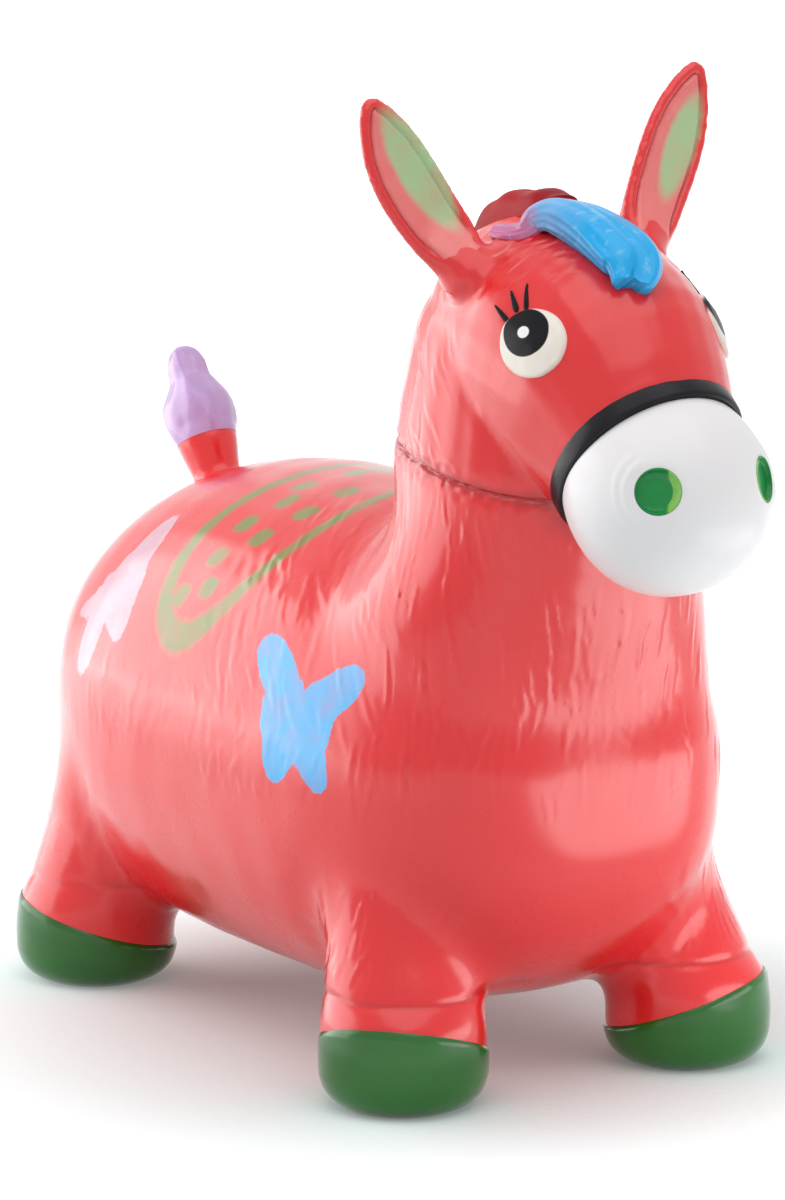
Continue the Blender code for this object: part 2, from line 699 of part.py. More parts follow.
def tail_frame():
    """Where the tail's root turns, and the way the tail points."""
    y = BODY_REAR - 0.051
    root = Vector((0.0, y, body_height_at(y, True) - 0.002))
    return Matrix.Translation(root) @ Matrix.Rotation(-TAIL_LEAN, 4, "X")


def make_tail():
    """A stem with a round root, and the tuft that it carries."""
    frame = tail_frame()
    side, lift = Vector((1, 0, 0)), Vector((0, 1, 0))
    rings = []
    for step in range(1, 6):
        angle = pi / 2 * step / 5
        reach = TAIL_ROOT_RADIUS * sin(angle)
        centre = Vector((0, 0, -TAIL_ROOT_RADIUS * cos(angle)))
        rings.append(ring(centre, side, lift, reach, reach, TAIL_SIDES))
    for height, reach in ((0.33, 0.0133), (0.57, 0.0132), (0.80, 0.0141), (1.0, 0.0154)):
        centre = Vector((0, 0, height * TAIL_STEM_LENGTH))
        rings.append(ring(centre, side, lift, reach, reach, TAIL_SIDES))
    stem = loft("tail_stem", rings, Vector((0, 0, -TAIL_ROOT_RADIUS)))
    stem.matrix_world = frame
    paint(stem, RED)

    swell = [(0.0, 0.84), (0.10, 0.95), (0.27, 1.0), (0.42, 0.93), (0.57, 0.70), (0.66, 0.58),
             (0.80, 0.56), (0.92, 0.42), (0.98, 0.22)]
    rows = []
    steps = 14
    for step in range(steps + 1):
        along, size = catmull_rom(swell, step / steps)
        centre = Vector((0.0, 0.0, TAIL_STEM_LENGTH + CLEARANCE + along * TAIL_TUFT_LENGTH))
        row = []
        for turn in range(TAIL_SIDES):
            angle = 2.0 * pi * turn / TAIL_SIDES
            lobe = 1.0 + 0.07 * cos(4.0 * angle + 3.0 * along)
            reach = TAIL_TUFT_RADIUS * size * lobe
            row.append(centre + Vector((reach * cos(angle), reach * sin(angle), 0.0)))
        rows.append(row)
    tip = Vector((0.0, 0.0, TAIL_STEM_LENGTH + CLEARANCE + TAIL_TUFT_LENGTH))
    tuft = loft("tail_tuft", rows, end_tip=tip)
    tuft.matrix_world = frame
    paint(tuft, PURPLE)
    return stem, tuft


def make_valve(torso):
    """A moulded collar in the belly and the stopper that closes its bore."""
    y = BODY_MIDDLE + VALVE_BEHIND_CENTRE
    lower = body_height_at(y, False) - VALVE_SEAT_RISE
    pocket = lathe("valve_pocket", [
        (0.0, -0.02), (VALVE_SEAT_RADIUS + CLEARANCE, -0.02),
        (VALVE_SEAT_RADIUS + CLEARANCE, VALVE_SEAT_DEPTH + CLEARANCE),
        (0.0, VALVE_SEAT_DEPTH + CLEARANCE),
    ], LIMB_SIDES)
    pocket.location = (0.0, y, lower)
    cut(torso, as_cutter(pocket))

    seat = lathe("valve_seat", [
        (0.0, PLUG_STEM_LENGTH + 0.0015), (VALVE_BORE_RADIUS, PLUG_STEM_LENGTH + 0.0015),
        (VALVE_BORE_RADIUS, 0.0008), (VALVE_BORE_RADIUS + 0.0008, 0.0), (VALVE_SEAT_RADIUS - 0.0015, 0.0),
        (VALVE_SEAT_RADIUS, 0.0012), (VALVE_SEAT_RADIUS, VALVE_SEAT_DEPTH), (0.0, VALVE_SEAT_DEPTH),
    ], LIMB_SIDES)
    seat.location = (0.0, y, lower)
    paint(seat, DARK_RED)

    stem = VALVE_BORE_RADIUS - RUNNING_CLEARANCE
    outline = [(0.0, PLUG_STEM_LENGTH), (0.6 * stem, PLUG_STEM_LENGTH)]
    outline.append((0.8 * stem, PLUG_STEM_LENGTH - 0.0020))
    for barb in (0.0130, 0.0085):
        outline += [(stem, barb), (stem, barb - 0.0010), (0.82 * stem, barb - 0.0016)]
    outline += [
        (0.82 * stem, -CLEARANCE), (PLUG_HEAD_RADIUS - 0.0008, -CLEARANCE),
        (PLUG_HEAD_RADIUS, -CLEARANCE - 0.0009),
        (PLUG_HEAD_RADIUS - 0.0010, -PLUG_HEAD_THICKNESS + 0.0003),
        (PLUG_HEAD_RADIUS - 0.0026, -PLUG_HEAD_THICKNESS), (0.0, -PLUG_HEAD_THICKNESS),
    ]
    plug = lathe("valve_plug", outline, LIMB_SIDES)
    plug.location = (0.0, y, lower)
    paint(plug, STOPPER_WHITE, 0.35)


def main():
    clear_scene()
    torso = make_torso()
    torso_cutter = grown_cutter(torso)
    head, neck, face_cutter, column_cutter = make_head_and_neck()
    muzzle = make_muzzle()
    muzzle_cutter = grown_cutter(muzzle)
    cut(head, muzzle_cutter)
    cut(neck, torso_cutter, face_cutter, muzzle_cutter)
    make_noseband(column_cutter, face_cutter, muzzle_cutter)

    mane = make_mane((face_cutter, column_cutter, torso_cutter))
    forelock = make_forelock((face_cutter, column_cutter))
    cut(mane, grown_cutter(forelock))

    fore_y = BODY_FRONT + FORE_LEG_SETBACK
    rear_y = BODY_REAR - REAR_LEG_ADVANCE
    ends = (("fore", fore_y, 1.0, FORE_LEG_END_SPLAY), ("rear", rear_y, -1.0, REAR_LEG_END_SPLAY))
    for side, hand in ((1, "left"), (-1, "right")):
        for end, leg_y, inward, splay in ends:
            make_leg(f"{end}_leg_{hand}", side, leg_y, inward, splay, torso_cutter)
            make_hoof(f"{end}_hoof_{hand}", side, leg_y, inward)
        ear = make_ear(hand, side)
        socket = sphere_cutter(f"ear_socket_{hand}", ear.matrix_world.translation,
                               EAR_ROOT_RADIUS + RUNNING_CLEARANCE)
        cut(head, socket)
        make_eye(f"eye_{hand}", side, face_cutter)
        make_nostril(f"nostril_{hand}", side, muzzle)

    stem, _ = make_tail()
    cut(torso, sphere_cutter("tail_socket", stem.matrix_world.translation,
                             TAIL_ROOT_RADIUS + RUNNING_CLEARANCE))
    make_valve(torso)


main()
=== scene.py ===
import math

import bmesh
import bpy
import numpy as np
from mathutils import Matrix, Vector
from mathutils.bvhtree import BVHTree


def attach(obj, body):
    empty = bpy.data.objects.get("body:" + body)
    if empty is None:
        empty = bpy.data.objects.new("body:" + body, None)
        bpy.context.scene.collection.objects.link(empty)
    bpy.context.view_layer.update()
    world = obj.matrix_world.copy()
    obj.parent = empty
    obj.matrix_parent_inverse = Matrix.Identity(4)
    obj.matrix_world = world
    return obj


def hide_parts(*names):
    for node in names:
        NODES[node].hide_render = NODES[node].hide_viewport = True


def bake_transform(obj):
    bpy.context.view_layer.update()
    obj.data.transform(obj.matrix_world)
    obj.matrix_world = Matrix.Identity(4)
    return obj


# The looks of an inflatable bouncy horse. Its moulded skin is grown out of the CAD solids: they are
# joined into one surface, smoothed where they meet, given moulded hair and grooves, and parted again
# where a body starts. The small parts are made finely on the places that the CAD gives.
# Everything is in metres, +Z up, and the horse faces -Y.

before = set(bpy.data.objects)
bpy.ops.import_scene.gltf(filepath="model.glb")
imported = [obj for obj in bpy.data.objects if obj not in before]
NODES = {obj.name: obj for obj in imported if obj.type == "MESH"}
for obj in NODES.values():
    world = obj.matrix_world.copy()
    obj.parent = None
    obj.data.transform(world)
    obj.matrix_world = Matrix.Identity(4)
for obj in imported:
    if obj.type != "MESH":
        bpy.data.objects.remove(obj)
X_AXIS, Y_AXIS, Z_AXIS = Vector((1.0, 0.0, 0.0)), Vector((0.0, 1.0, 0.0)), Vector((0.0, 0.0, 1.0))
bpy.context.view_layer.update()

# Fineness of the surfaces
TRUNK_VOXEL = 0.0037
HEAD_VOXEL = 0.0017
GROW = 0.0004                  # closes the 0.3 mm gaps between neighbouring solids
LATHE_SIDES = 120

# Places and sizes: the CAD's own, and those of details that only the looks have
CREASE_POINT = Vector((0.0, -0.129, 0.332))
CREASE_NORMAL = Vector((0.0, -0.15643, 0.98769))
TRUNK_BEYOND_CREASE = 0.030    # the trunk's skin is grown this far past the crease and then cut there
HEAD_BOTTOM = 0.290            # and the head's skin down to this height
HEAD_CENTRE = Vector((0.0, -0.129, 0.391))
# Soft swellings of the skin: the place on the left side, how far it rises and how far it reaches
TEMPLE = (Vector((0.0555, -0.1490, 0.4270)), 0.0028, 0.012)
SHOULDER = (Vector((0.0700, -0.1400, 0.2180)), 0.0055, 0.022)
MUZZLE_FORWARD = Vector((0.0, -0.79229, -0.61015))
MUZZLE_LIFT = Vector((0.0, -0.61015, 0.79229))
MUZZLE_MIDDLE = Vector((0.0, -0.22384, 0.33375))
MUZZLE_RADIUS = 0.0520
MUZZLE_HALF_WIDTH = 0.0535
MUZZLE_POWER = 2.15
MUZZLE_BACK = 0.0247           # how far behind its middle the muzzle starts
BAND_CENTRE = Vector((0.0, -0.20403, 0.349))
BAND_HALF_SIDE = 0.0492
BAND_HALF_LIFT = 0.0505
BAND_WIDTH = 0.0130
BAND_POWER = 2.15
HANDS = {"left": 1.0, "right": -1.0}
LEG_PLACES = {"fore": -0.112, "rear": 0.212}
LEG_SPREAD = 0.089
# Every leg: which end of the horse, which hand, and the sign of its X
LEGS = [(end, hand, side) for end in LEG_PLACES for hand, side in HANDS.items()]
LEG_NODES = [f"{end}_leg_{hand}" for end, hand, _ in LEGS]
LEG_REACH = 0.070              # what belongs to a leg's ankle lies within this of its middle line
HOOF_REACH = 0.060             # and what is cut away for its hoof within this, and below the height
HOOF_REACH_HEIGHT = 0.075
HOOF_HEIGHT = 0.0340
HOOF_RADIUS = 0.0446
SOLE_RADIUS = 0.0290
HOOF_SIDE_SLANT = math.radians(15.0)
HOOF_END_SLANTS = {"fore": math.radians(14.0), "rear": math.radians(10.0)}
HOOF_LIP = 0.0011
ANKLE_GROOVE_HEIGHT = 0.060
# Each eye's middle and facing, with X counted outwards; the left one sits a little further forward
EYE_CENTRES = {"left": Vector((0.0505, -0.1905, 0.4102)), "right": Vector((0.05505, -0.18092, 0.40926))}
EYE_FACINGS = {"left": Vector((0.835, -0.450, 0.317)), "right": Vector((0.91166, -0.26917, 0.31052))}
EYE_RADIUS = 0.0178
EYE_STRETCH = 1.17
EYE_ROUNDING = 0.0016
EYE_SEARCH_HEIGHT = 0.015      # from where the skin under an eye is looked for
NOSTRIL_CENTRE = Vector((0.0335, -0.26448, 0.34362))
NOSTRIL_FACING = Vector((0.62517, -0.75842, 0.1843))
NOSTRIL_RADIUS = 0.0121
# The folds beside a nostril: how far from its middle, and how high
NOSTRIL_FOLDS = ((0.0172, 0.0009), (0.0222, 0.0006))
NOSTRIL_FOLD_WIDTH = 0.0012
EAR_FRAMES = {
    "left": (Vector((0.050954, -0.116518, 0.436835)), Vector((0.885114, -0.034421, -0.4641)),
             Vector((-0.046624, 0.985685, -0.162024)), Vector((0.463033, 0.165048, 0.870838))),
    "right": (Vector((-0.050954, -0.116518, 0.436835)), Vector((0.890369, 0.033863, 0.453978)),
              Vector((0.080683, 0.969705, -0.230571)), Vector((-0.448033, 0.241922, 0.860663))),
}
EAR_LENGTHS = {"left": 0.1090, "right": 0.1035}
EAR_BOWS = {"left": 0.0005, "right": 0.0045}
EAR_WIDTH = 0.0368
EAR_RIM = 0.0048               # width of the rim round an ear's hollow
EAR_CUT_HEIGHT = 0.0095
EAR_REACH_ACROSS = 0.021       # the cut at an ear's root takes in no more of the head than this
EAR_REACH_THROUGH = 0.017
EAR_DISH_START = 0.0150
# Along the leaf of an ear, and its share of the full width there
EAR_LEAF = np.array([(0.0, 0.78), (0.06, 0.80), (0.17, 0.88), (0.30, 0.95), (0.45, 0.99), (0.60, 0.98),
                     (0.74, 0.86), (0.86, 0.63), (0.94, 0.40), (0.985, 0.20), (1.0, 0.0)])
EAR_OVAL_POWER = 1.8
# The green oval of an ear: across, up, half its width and half its length
EAR_OVALS = {"left": (0.0046, 0.0640, 0.0092, 0.0290), "right": (0.0036, 0.0590, 0.0112, 0.0350)}
TAIL_ROOT = Vector((0.0, 0.224, 0.265194))
TAIL_AXIS = Vector((0.0, 0.515038, 0.857167))
TAIL_CUT_HEIGHT = 0.0110
TAIL_FRONT = 0.19              # nothing of the tail lies further forward than this
STEM_RADIUS = 0.0134
STEM_TOP_RADIUS = 0.0170
STEM_END = 0.0301
TUFT_START = 0.0290
TUFT_LENGTH = 0.0573
TUFT_RADIUS = 0.0192
MANE_PATH = [(0.0, -0.12500, 0.46330), (0.0, -0.11208, 0.46327), (0.0, -0.08568, 0.45896),
             (0.0, -0.07029, 0.45106), (0.0, -0.04834, 0.42193), (0.0, -0.03883, 0.40647),
             (0.0, -0.03384, 0.38767), (0.0, -0.02825, 0.36125), (0.0, -0.02556, 0.33541),
             (0.0, -0.03135, 0.31234)]
MANE_WIDTH = 0.027
MANE_RISE = 0.0120
FORELOCK_PATH = [(-0.03200, -0.11000, 0.45550), (-0.02755, -0.13055, 0.45739), (-0.02268, -0.13621, 0.46498),
                 (-0.01629, -0.14518, 0.46739), (-0.01120, -0.16173, 0.46427), (-0.00706, -0.18205, 0.45624),
                 (-0.00551, -0.19764, 0.44715), (-0.01119, -0.20709, 0.43746)]
FORELOCK_SIZES = [0.26, 0.42, 0.56, 0.72, 0.88, 1.0, 0.95, 0.62]
FORELOCK_RADIUS = 0.0165
FORELOCK_FLATNESS = 0.70
VALVE_CENTRE = Vector((0.0, 0.0585, 0.0305))
VALVE_BORE_RADIUS = 0.0163
VALVE_BORE_TOP = 0.0243        # above the valve's centre
# The lashes' starts and ends, rearward and up from the eye's middle, and their width
LASHES = (
    ((0.0179, 0.0090), (0.0284, 0.0162), 0.0034),
    ((0.0140, 0.0148), (0.0210, 0.0250), 0.0038),
    ((0.0085, 0.0160), (0.0136, 0.0316), 0.0032),
)
STROKE_WAVE = 0.013            # length of one wave along a stroke of moulded hair
BACK_HEIGHT = 0.17             # of the line that angles round the trunk are measured from
BACK_RADIUS = 0.125            # turns such an angle into a length along the skin
# Places of the saddle's spots: down the side from the spine, and behind the oval's middle line
SADDLE_SPOTS = ((0.008, 0.014), (0.030, -0.014), (0.036, 0.020), (0.052, 0.010), (0.056, -0.016),
                (0.074, 0.015), (0.080, -0.010), (0.098, 0.008), (0.116, -0.006), (0.124, 0.014))
SADDLE_SPOT_HALF = 0.0068

# Paint colours, linear
RED = (0.780, 0.012, 0.015)
PINK_RED = (0.820, 0.022, 0.028)
DARK_RED = (0.34, 0.006, 0.010)
DISH_PINK = (0.860, 0.210, 0.200)
SADDLE_GREEN = (0.105, 0.260, 0.030)
SKY_BLUE = (0.030, 0.41, 0.84)
PALE_PINK = (0.66, 0.40, 0.50)
EAR_GREEN = (0.38, 0.60, 0.30)
HOOF_GREEN = (0.012, 0.118, 0.010)
MUZZLE_WHITE = (0.86, 0.84, 0.85)
BLACK = (0.008, 0.008, 0.010)
FORELOCK_BLUE = (0.004, 0.40, 0.82)
FORELOCK_SKY = (0.17, 0.46, 0.84)
PLUM = (0.58, 0.17, 0.36)
TUFT_LILAC = (0.50, 0.30, 0.60)
CREAM = (0.90, 0.84, 0.76)
NOSTRIL_GREEN = (0.006, 0.25, 0.055)
# Painted highlight: the lit inner wall of a nostril
NOSTRIL_LIT_GREEN = (0.24, 0.56, 0.10)

# Light
WORLD_LIGHT = 0.60
# The floor's own glow is kept low under the horse: a painted shadow that deepens the cast one.
PAINTED_SHADOW_LIFT, FLOOR_LIFT = 0.10, 0.62   # own brightness of the floor under the horse and round it
# Each lamp: name, place, the point it looks at, size, watts and shape
SOFTBOXES = (
    ("rear_softbox", (-1.01, 1.17, 0.555), (0.0, 0.0, 0.22), (1.75, 1.15), 15.0, "RECTANGLE"),
    ("side_softbox", (0.21, -0.41, 0.100), (0.0, -0.165, 0.21), (0.44, 0.15), 0.50, "ELLIPSE"),
    ("top_softbox", (-0.17, -0.60, 2.0), (0.0, 0.0, 0.22), (2.4, 2.4), 16.5, "ELLIPSE"),
)


# Meshes as arrays

def positions(mesh):
    flat = np.empty(len(mesh.vertices) * 3)
    mesh.vertices.foreach_get("co", flat)
    return flat.reshape(-1, 3)


def set_positions(mesh, points):
    mesh.vertices.foreach_set("co", points.ravel())
    mesh.update()


def vertex_normals(mesh):
    flat = np.empty(len(mesh.vertices) * 3)
    mesh.vertex_normals.foreach_get("vector", flat)
    return flat.reshape(-1, 3)


def push_out(mesh, points, rise):
    """Moves a mesh's points along its normals, and returns where they are then."""
    points = points + vertex_normals(mesh) * rise[:, None]
    set_positions(mesh, points)
    return points


def edge_pairs(mesh):
    flat = np.empty(len(mesh.edges) * 2, dtype=np.int64)
    mesh.edges.foreach_get("vertices", flat)
    return flat.reshape(-1, 2)


def smoothstep(value, low, high):
    share = np.clip((value - low) / (high - low), 0.0, 1.0)
    return share * share * (3.0 - 2.0 * share)


def turns(sides):
    """Angles at even steps round a circle."""
    return [2.0 * math.pi * index / sides for index in range(sides)]


def shares(steps):
    """Even steps from 0 to 1, with both ends."""
    return [step / steps for step in range(steps + 1)]


def between(value, rise_start, rise_end, fall_start, fall_end):
    """1 on a stretch, falling softly to 0 on both sides of it."""
    return smoothstep(value, rise_start, rise_end) * smoothstep(-value, -fall_end, -fall_start)


def relax(points, edges, weights, rounds, back=0.0):
    """Each point moves towards the mean of its neighbours by its weight, then back by a share of it."""
    total = len(points)
    ends = np.concatenate((edges[:, 0], edges[:, 1]))
    others = np.concatenate((edges[:, 1], edges[:, 0]))
    count = np.maximum(np.bincount(ends, minlength=total), 1)[:, None]
    weights = np.broadcast_to(np.asarray(weights, dtype=float), (total,))[:, None]
    pulls = (1.0, -back) if back else (1.0,)
    for _ in range(rounds):
        for pull in pulls:
            mean = np.stack([np.bincount(ends, points[others, axis], total) for axis in range(3)], axis=1)
            points = points + pull * weights * (mean / count - points)
    return points


def even_out(points, edges, rounds, weights=1.0):
    """Smooths without shrinking: each inward step is followed by a slightly longer outward one."""
    return relax(points, edges, 0.60 * np.asarray(weights, dtype=float), rounds, 1.033)


def new_object(name, mesh):
    item = bpy.data.objects.new(name, mesh)
    bpy.context.scene.collection.objects.link(item)
    return item


def shade_smooth(mesh, sharp_angle=None):
    """Shades a mesh smoothly, except at edges sharper than an angle in degrees."""
    mesh.polygons.foreach_set("use_smooth", np.ones(len(mesh.polygons), dtype=bool))
    if sharp_angle is not None:
        mesh.set_sharp_from_angle(angle=math.radians(sharp_angle))
    mesh.update()


def closed_object(name, surface, sharp_angle):
    """An object of a bmesh, with smooth shading except at edges sharper than an angle in degrees."""
    bmesh.ops.recalc_face_normals(surface, faces=surface.faces)
    mesh = bpy.data.meshes.new(name)
    surface.to_mesh(mesh)
    surface.free()
    shade_smooth(mesh, sharp_angle)
    return new_object(name, mesh)


def loft(name, rows, tip=None, loop=False, sharp_angle=40.0):
    """A closed skin through rows of points, with flat ends, a pointed end or, as a loop, none."""
    surface = bmesh.new()
    made = [[surface.verts.new(point) for point in row] for row in rows]
    pairs = list(zip(made, made[1:]))
    if loop:
        pairs.append((made[-1], made[0]))
    sides = len(made[0])
    for low, high in pairs:
        for turn in range(sides):
            following = (turn + 1) % sides
            surface.faces.new((low[turn], low[following], high[following], high[turn]))
    if not loop:
        surface.faces.new(made[0])
        if tip is None:
            surface.faces.new(made[-1])
        else:
            point = surface.verts.new(tip)
            for turn in range(sides):
                surface.faces.new((made[-1][turn], made[-1][(turn + 1) % sides], point))
    return closed_object(name, surface, sharp_angle)


def lathe(name, outline, sides):
    """A solid turned round Z from (radius, height) corners that run from axis to axis."""
    surface = bmesh.new()
    rows = []
    for radius, height in outline:
        if radius < 1e-6:
            rows.append([surface.verts.new((0.0, 0.0, height))])
            continue
        circle = [(radius * math.cos(angle), radius * math.sin(angle), height) for angle in turns(sides)]
        rows.append([surface.verts.new(point) for point in circle])
    for low, high in zip(rows, rows[1:]):
        for turn in range(sides):
            following = (turn + 1) % sides
            corners = [low[turn % len(low)], low[following % len(low)],
                       high[following % len(high)], high[turn % len(high)]]
            unique = list(dict.fromkeys(corners))
            if len(unique) > 2:
                surface.faces.new(unique)
    return closed_object(name, surface, 38.0)


def smooth_curve(values, place):
    """The value at a place from 0 to 1 along a row of numbers or points that a curve runs through."""
    values = np.asarray(values, dtype=float)
    spans = len(values) - 1
    position = min(max(place, 0.0), 1.0) * spans
    first = min(int(position), spans - 1)
    share = position - first
    before, here = values[max(first - 1, 0)], values[first]
    there, beyond = values[first + 1], values[min(first + 2, spans)]
    return 0.5 * (2.0 * here + (there - before) * share
                  + (2.0 * before - 5.0 * here + 4.0 * there - beyond) * share ** 2
                  + (3.0 * here - before - 3.0 * there + beyond) * share ** 3)


def signed_power(value, power):
    return math.copysign(abs(value) ** power, value)


def shell_labels(mesh):
    """A number for each point that is the same for all points of one loose shell."""
    edges = edge_pairs(mesh)
    label = np.arange(len(mesh.vertices))
    while True:
        lowest = label.copy()
        np.minimum.at(lowest, edges[:, 0], label[edges[:, 1]])
        np.minimum.at(lowest, edges[:, 1], label[edges[:, 0]])
        lowest = lowest[lowest]
        if np.array_equal(lowest, label):
            return label
        label = lowest


def keep_shell(item, point=None):
    """Keeps one loose shell: the largest, or the one that comes closest to a point."""
    mesh = item.data
    label = shell_labels(mesh)
    if point is None:
        names, sizes = np.unique(label, return_counts=True)
        main = names[np.argmax(sizes)]
    else:
        away = np.linalg.norm(positions(mesh) - np.array(point), axis=1)
        main = label[np.argmin(away)]
    surface = bmesh.new()
    surface.from_mesh(mesh)
    surface.verts.ensure_lookup_table()
    spare = [surface.verts[index] for index in np.flatnonzero(label != main)]
    bmesh.ops.delete(surface, geom=spare, context="VERTS")
    surface.to_mesh(mesh)
    surface.free()


def apply_modifiers(item):
    """Replaces an object's mesh with what its modifiers make of it."""
    shown = item.evaluated_get(bpy.context.evaluated_depsgraph_get())
    made = bpy.data.meshes.new_from_object(shown)
    item.modifiers.clear()
    old = item.data
    item.data = made
    bpy.data.meshes.remove(old)


def cut_edges(cut):
    """The edges that a cut through a bmesh has made."""
    return [part for part in cut["geom_cut"] if isinstance(part, bmesh.types.BMEdge)]


# Skins grown out of the CAD solids

def welded_solid(node, grow):
    """A CAD solid as one welded mesh, a little larger or smaller all round."""
    solid = bmesh.new()
    solid.from_mesh(NODES[node].data)
    bmesh.ops.remove_doubles(solid, verts=solid.verts, dist=1e-6)
    bmesh.ops.recalc_face_normals(solid, faces=solid.faces)
    solid.normal_update()
    moved = [(vertex, vertex.co + vertex.normal * grow) for vertex in solid.verts]
    for vertex, place in moved:
        vertex.co = place
    return solid


def cad_tree(*nodes):
    """A search tree over the surfaces of these nodes."""
    corners, faces = [], []
    for node in nodes:
        solid = welded_solid(node, 0.0)
        solid.verts.index_update()
        first = len(corners)
        corners += [vertex.co.copy() for vertex in solid.verts]
        faces += [[first + vertex.index for vertex in face.verts] for face in solid.faces]
        solid.free()
    return BVHTree.FromPolygons(corners, faces)


def skin_tree(item):
    """A search tree over a skin that is made already."""
    surface = bmesh.new()
    surface.from_mesh(item.data)
    tree = BVHTree.FromBMesh(surface)
    surface.free()
    return tree


def joined_skin(name, nodes, voxel, normal, distance):
    """One closed surface round several CAD solids, as far as a plane; nodes says how much each grows."""
    mesh = bpy.data.meshes.new(name)
    joined = bmesh.new()
    for node, grow in nodes.items():
        solid = welded_solid(node, grow)
        solid.to_mesh(mesh)
        solid.free()
        joined.from_mesh(mesh)
    geometry = joined.verts[:] + joined.edges[:] + joined.faces[:]
    cut = bmesh.ops.bisect_plane(joined, geom=geometry, plane_co=normal * distance,
                                 plane_no=normal, clear_outer=True)
    bmesh.ops.holes_fill(joined, edges=cut_edges(cut))
    joined.to_mesh(mesh)
    joined.free()
    item = new_object(name, mesh)
    remesh = item.modifiers.new("one_skin", "REMESH")
    remesh.mode = "VOXEL"
    remesh.voxel_size = voxel
    remesh.adaptivity = 0.0
    apply_modifiers(item)
    item.data.materials.clear()
    return item


def near_both(points, first, second, reach):
    """1 on the line where two surfaces meet, falling to 0 at the reach."""
    weight = np.zeros(len(points))
    for index, point in enumerate(points):
        place = Vector(point)
        hit = first.find_nearest(place, reach)
        if hit[0] is None:
            continue
        other = second.find_nearest(place, reach)
        if other[0] is None:
            continue
        weight[index] = 1.0 - (hit[3] + other[3]) / reach
    return smoothstep(weight, 0.0, 0.75)


def soften_meetings(points, edges, node, meetings, per_round):
    """Rounds the lines where a solid meets others; a meeting is its nodes, its reach and its rounds."""
    tree = cad_tree(node)
    for others, reach, rounds in meetings:
        meeting = near_both(points, tree, cad_tree(*others), reach)
        points = relax(points, edges, 0.5 * meeting, max(4, int(rounds * per_round)))
    return points


def refine(item, wanted):
    """Cuts the faces in a zone into four; wanted(centres) says which faces are in it."""
    surface = bmesh.new()
    surface.from_mesh(item.data)
    centres = np.array([face.calc_center_median() for face in surface.faces])
    chosen = wanted(centres)
    surface.faces.ensure_lookup_table()
    edges = {edge for index in np.flatnonzero(chosen) for edge in surface.faces[index].edges}
    bmesh.ops.subdivide_edges(surface, edges=list(edges), cuts=1, use_grid_fill=True, smooth=0.0)
    surface.to_mesh(item.data)
    surface.free()


def cut_off(item, point, normal, inside=None, cap=True):
    """Removes what lies beyond a plane; inside(place) limits the cut to one region."""
    surface = bmesh.new()
    surface.from_mesh(item.data)
    chosen = [vertex for vertex in surface.verts if inside is None or inside(vertex.co)]
    flags = set(chosen)
    edges = [edge for edge in surface.edges if edge.verts[0] in flags and edge.verts[1] in flags]
    faces = [face for face in surface.faces if all(vertex in flags for vertex in face.verts)]
    cut = bmesh.ops.bisect_plane(surface, geom=chosen + edges + faces, dist=1e-7,
                                 plane_co=point, plane_no=normal, clear_outer=True)
    if cap:
        made = bmesh.ops.holes_fill(surface, edges=cut_edges(cut), sides=0)
        for face in made["faces"]:
            for edge in face.edges:
                edge.smooth = False
    surface.to_mesh(item.data)
    surface.free()


def bore(item, place, radius, low, high):
    """A round hole along the Z of a place."""
    cutter = lathe("bore", [(0.0, low), (radius, low), (radius, high), (0.0, high)], LATHE_SIDES)
    cutter.matrix_world = place
    boolean = item.modifiers.new("bore", "BOOLEAN")
    boolean.operation = "DIFFERENCE"
    boolean.solver = "EXACT"
    boolean.object = cutter
    bpy.context.view_layer.update()
    apply_modifiers(item)
    bpy.data.objects.remove(cutter)


def set_attribute(item, name, values):
    attribute = item.data.attributes.get(name) or item.data.attributes.new(name, "FLOAT", "POINT")
    attribute.data.foreach_set("value", np.asarray(values, dtype=np.float32))


def swell(points, swelling):
    """A soft bulge at a place of the left side and at its mirror place."""
    place, rise, reach = swelling
    mirrored = np.stack([np.abs(points[:, 0]), points[:, 1], points[:, 2]], axis=1)
    away = np.linalg.norm(mirrored - np.array(place), axis=1)
    return rise * np.exp(-0.5 * (away / reach) ** 2)


# Moulded hair

def stroke_relief(across, along, seed, count, area, lean, spread, length, width, height):
    """Height of many thin moulded strokes on a chart: each is a ridge with a furrow beside it."""
    random = np.random.default_rng(seed)
    relief = np.zeros(len(across))
    order = np.argsort(along)
    a_sorted, b_sorted = across[order], along[order]
    for _ in range(count):
        start_a = random.uniform(area[0], area[1])
        start_b = random.uniform(area[2], area[3])
        angle = lean + random.normal(0.0, spread)
        reach = random.uniform(*length)
        sigma = random.uniform(*width)
        rise = random.uniform(*height)
        bend = random.normal(0.0, 4.0)
        side = 1.0 if random.random() < 0.7 else -1.0
        swing = random.uniform(0.0, 0.0007)
        phase = random.uniform(0.0, 2.0 * math.pi)
        extent = abs(reach * math.cos(angle)) / 2 + 5 * sigma
        first, last = np.searchsorted(b_sorted, (start_b - extent, start_b + extent))
        da = a_sorted[first:last] - start_a
        db = b_sorted[first:last] - start_b
        run = da * math.sin(angle) + db * math.cos(angle)
        off = da * math.cos(angle) - db * math.sin(angle) - bend * run * run
        off = off + swing * np.sin(run * (2.0 * math.pi / STROKE_WAVE) + phase)
        ends = np.clip(1.0 - (2.0 * run / reach) ** 2, 0.0, 1.0)
        ridge = np.exp(-0.5 * (off / sigma) ** 2)
        furrow = 0.7 * np.exp(-0.5 * ((off - side * 1.9 * sigma) / sigma) ** 2)
        relief[order[first:last]] += rise * ends * (ridge - furrow)
    return relief


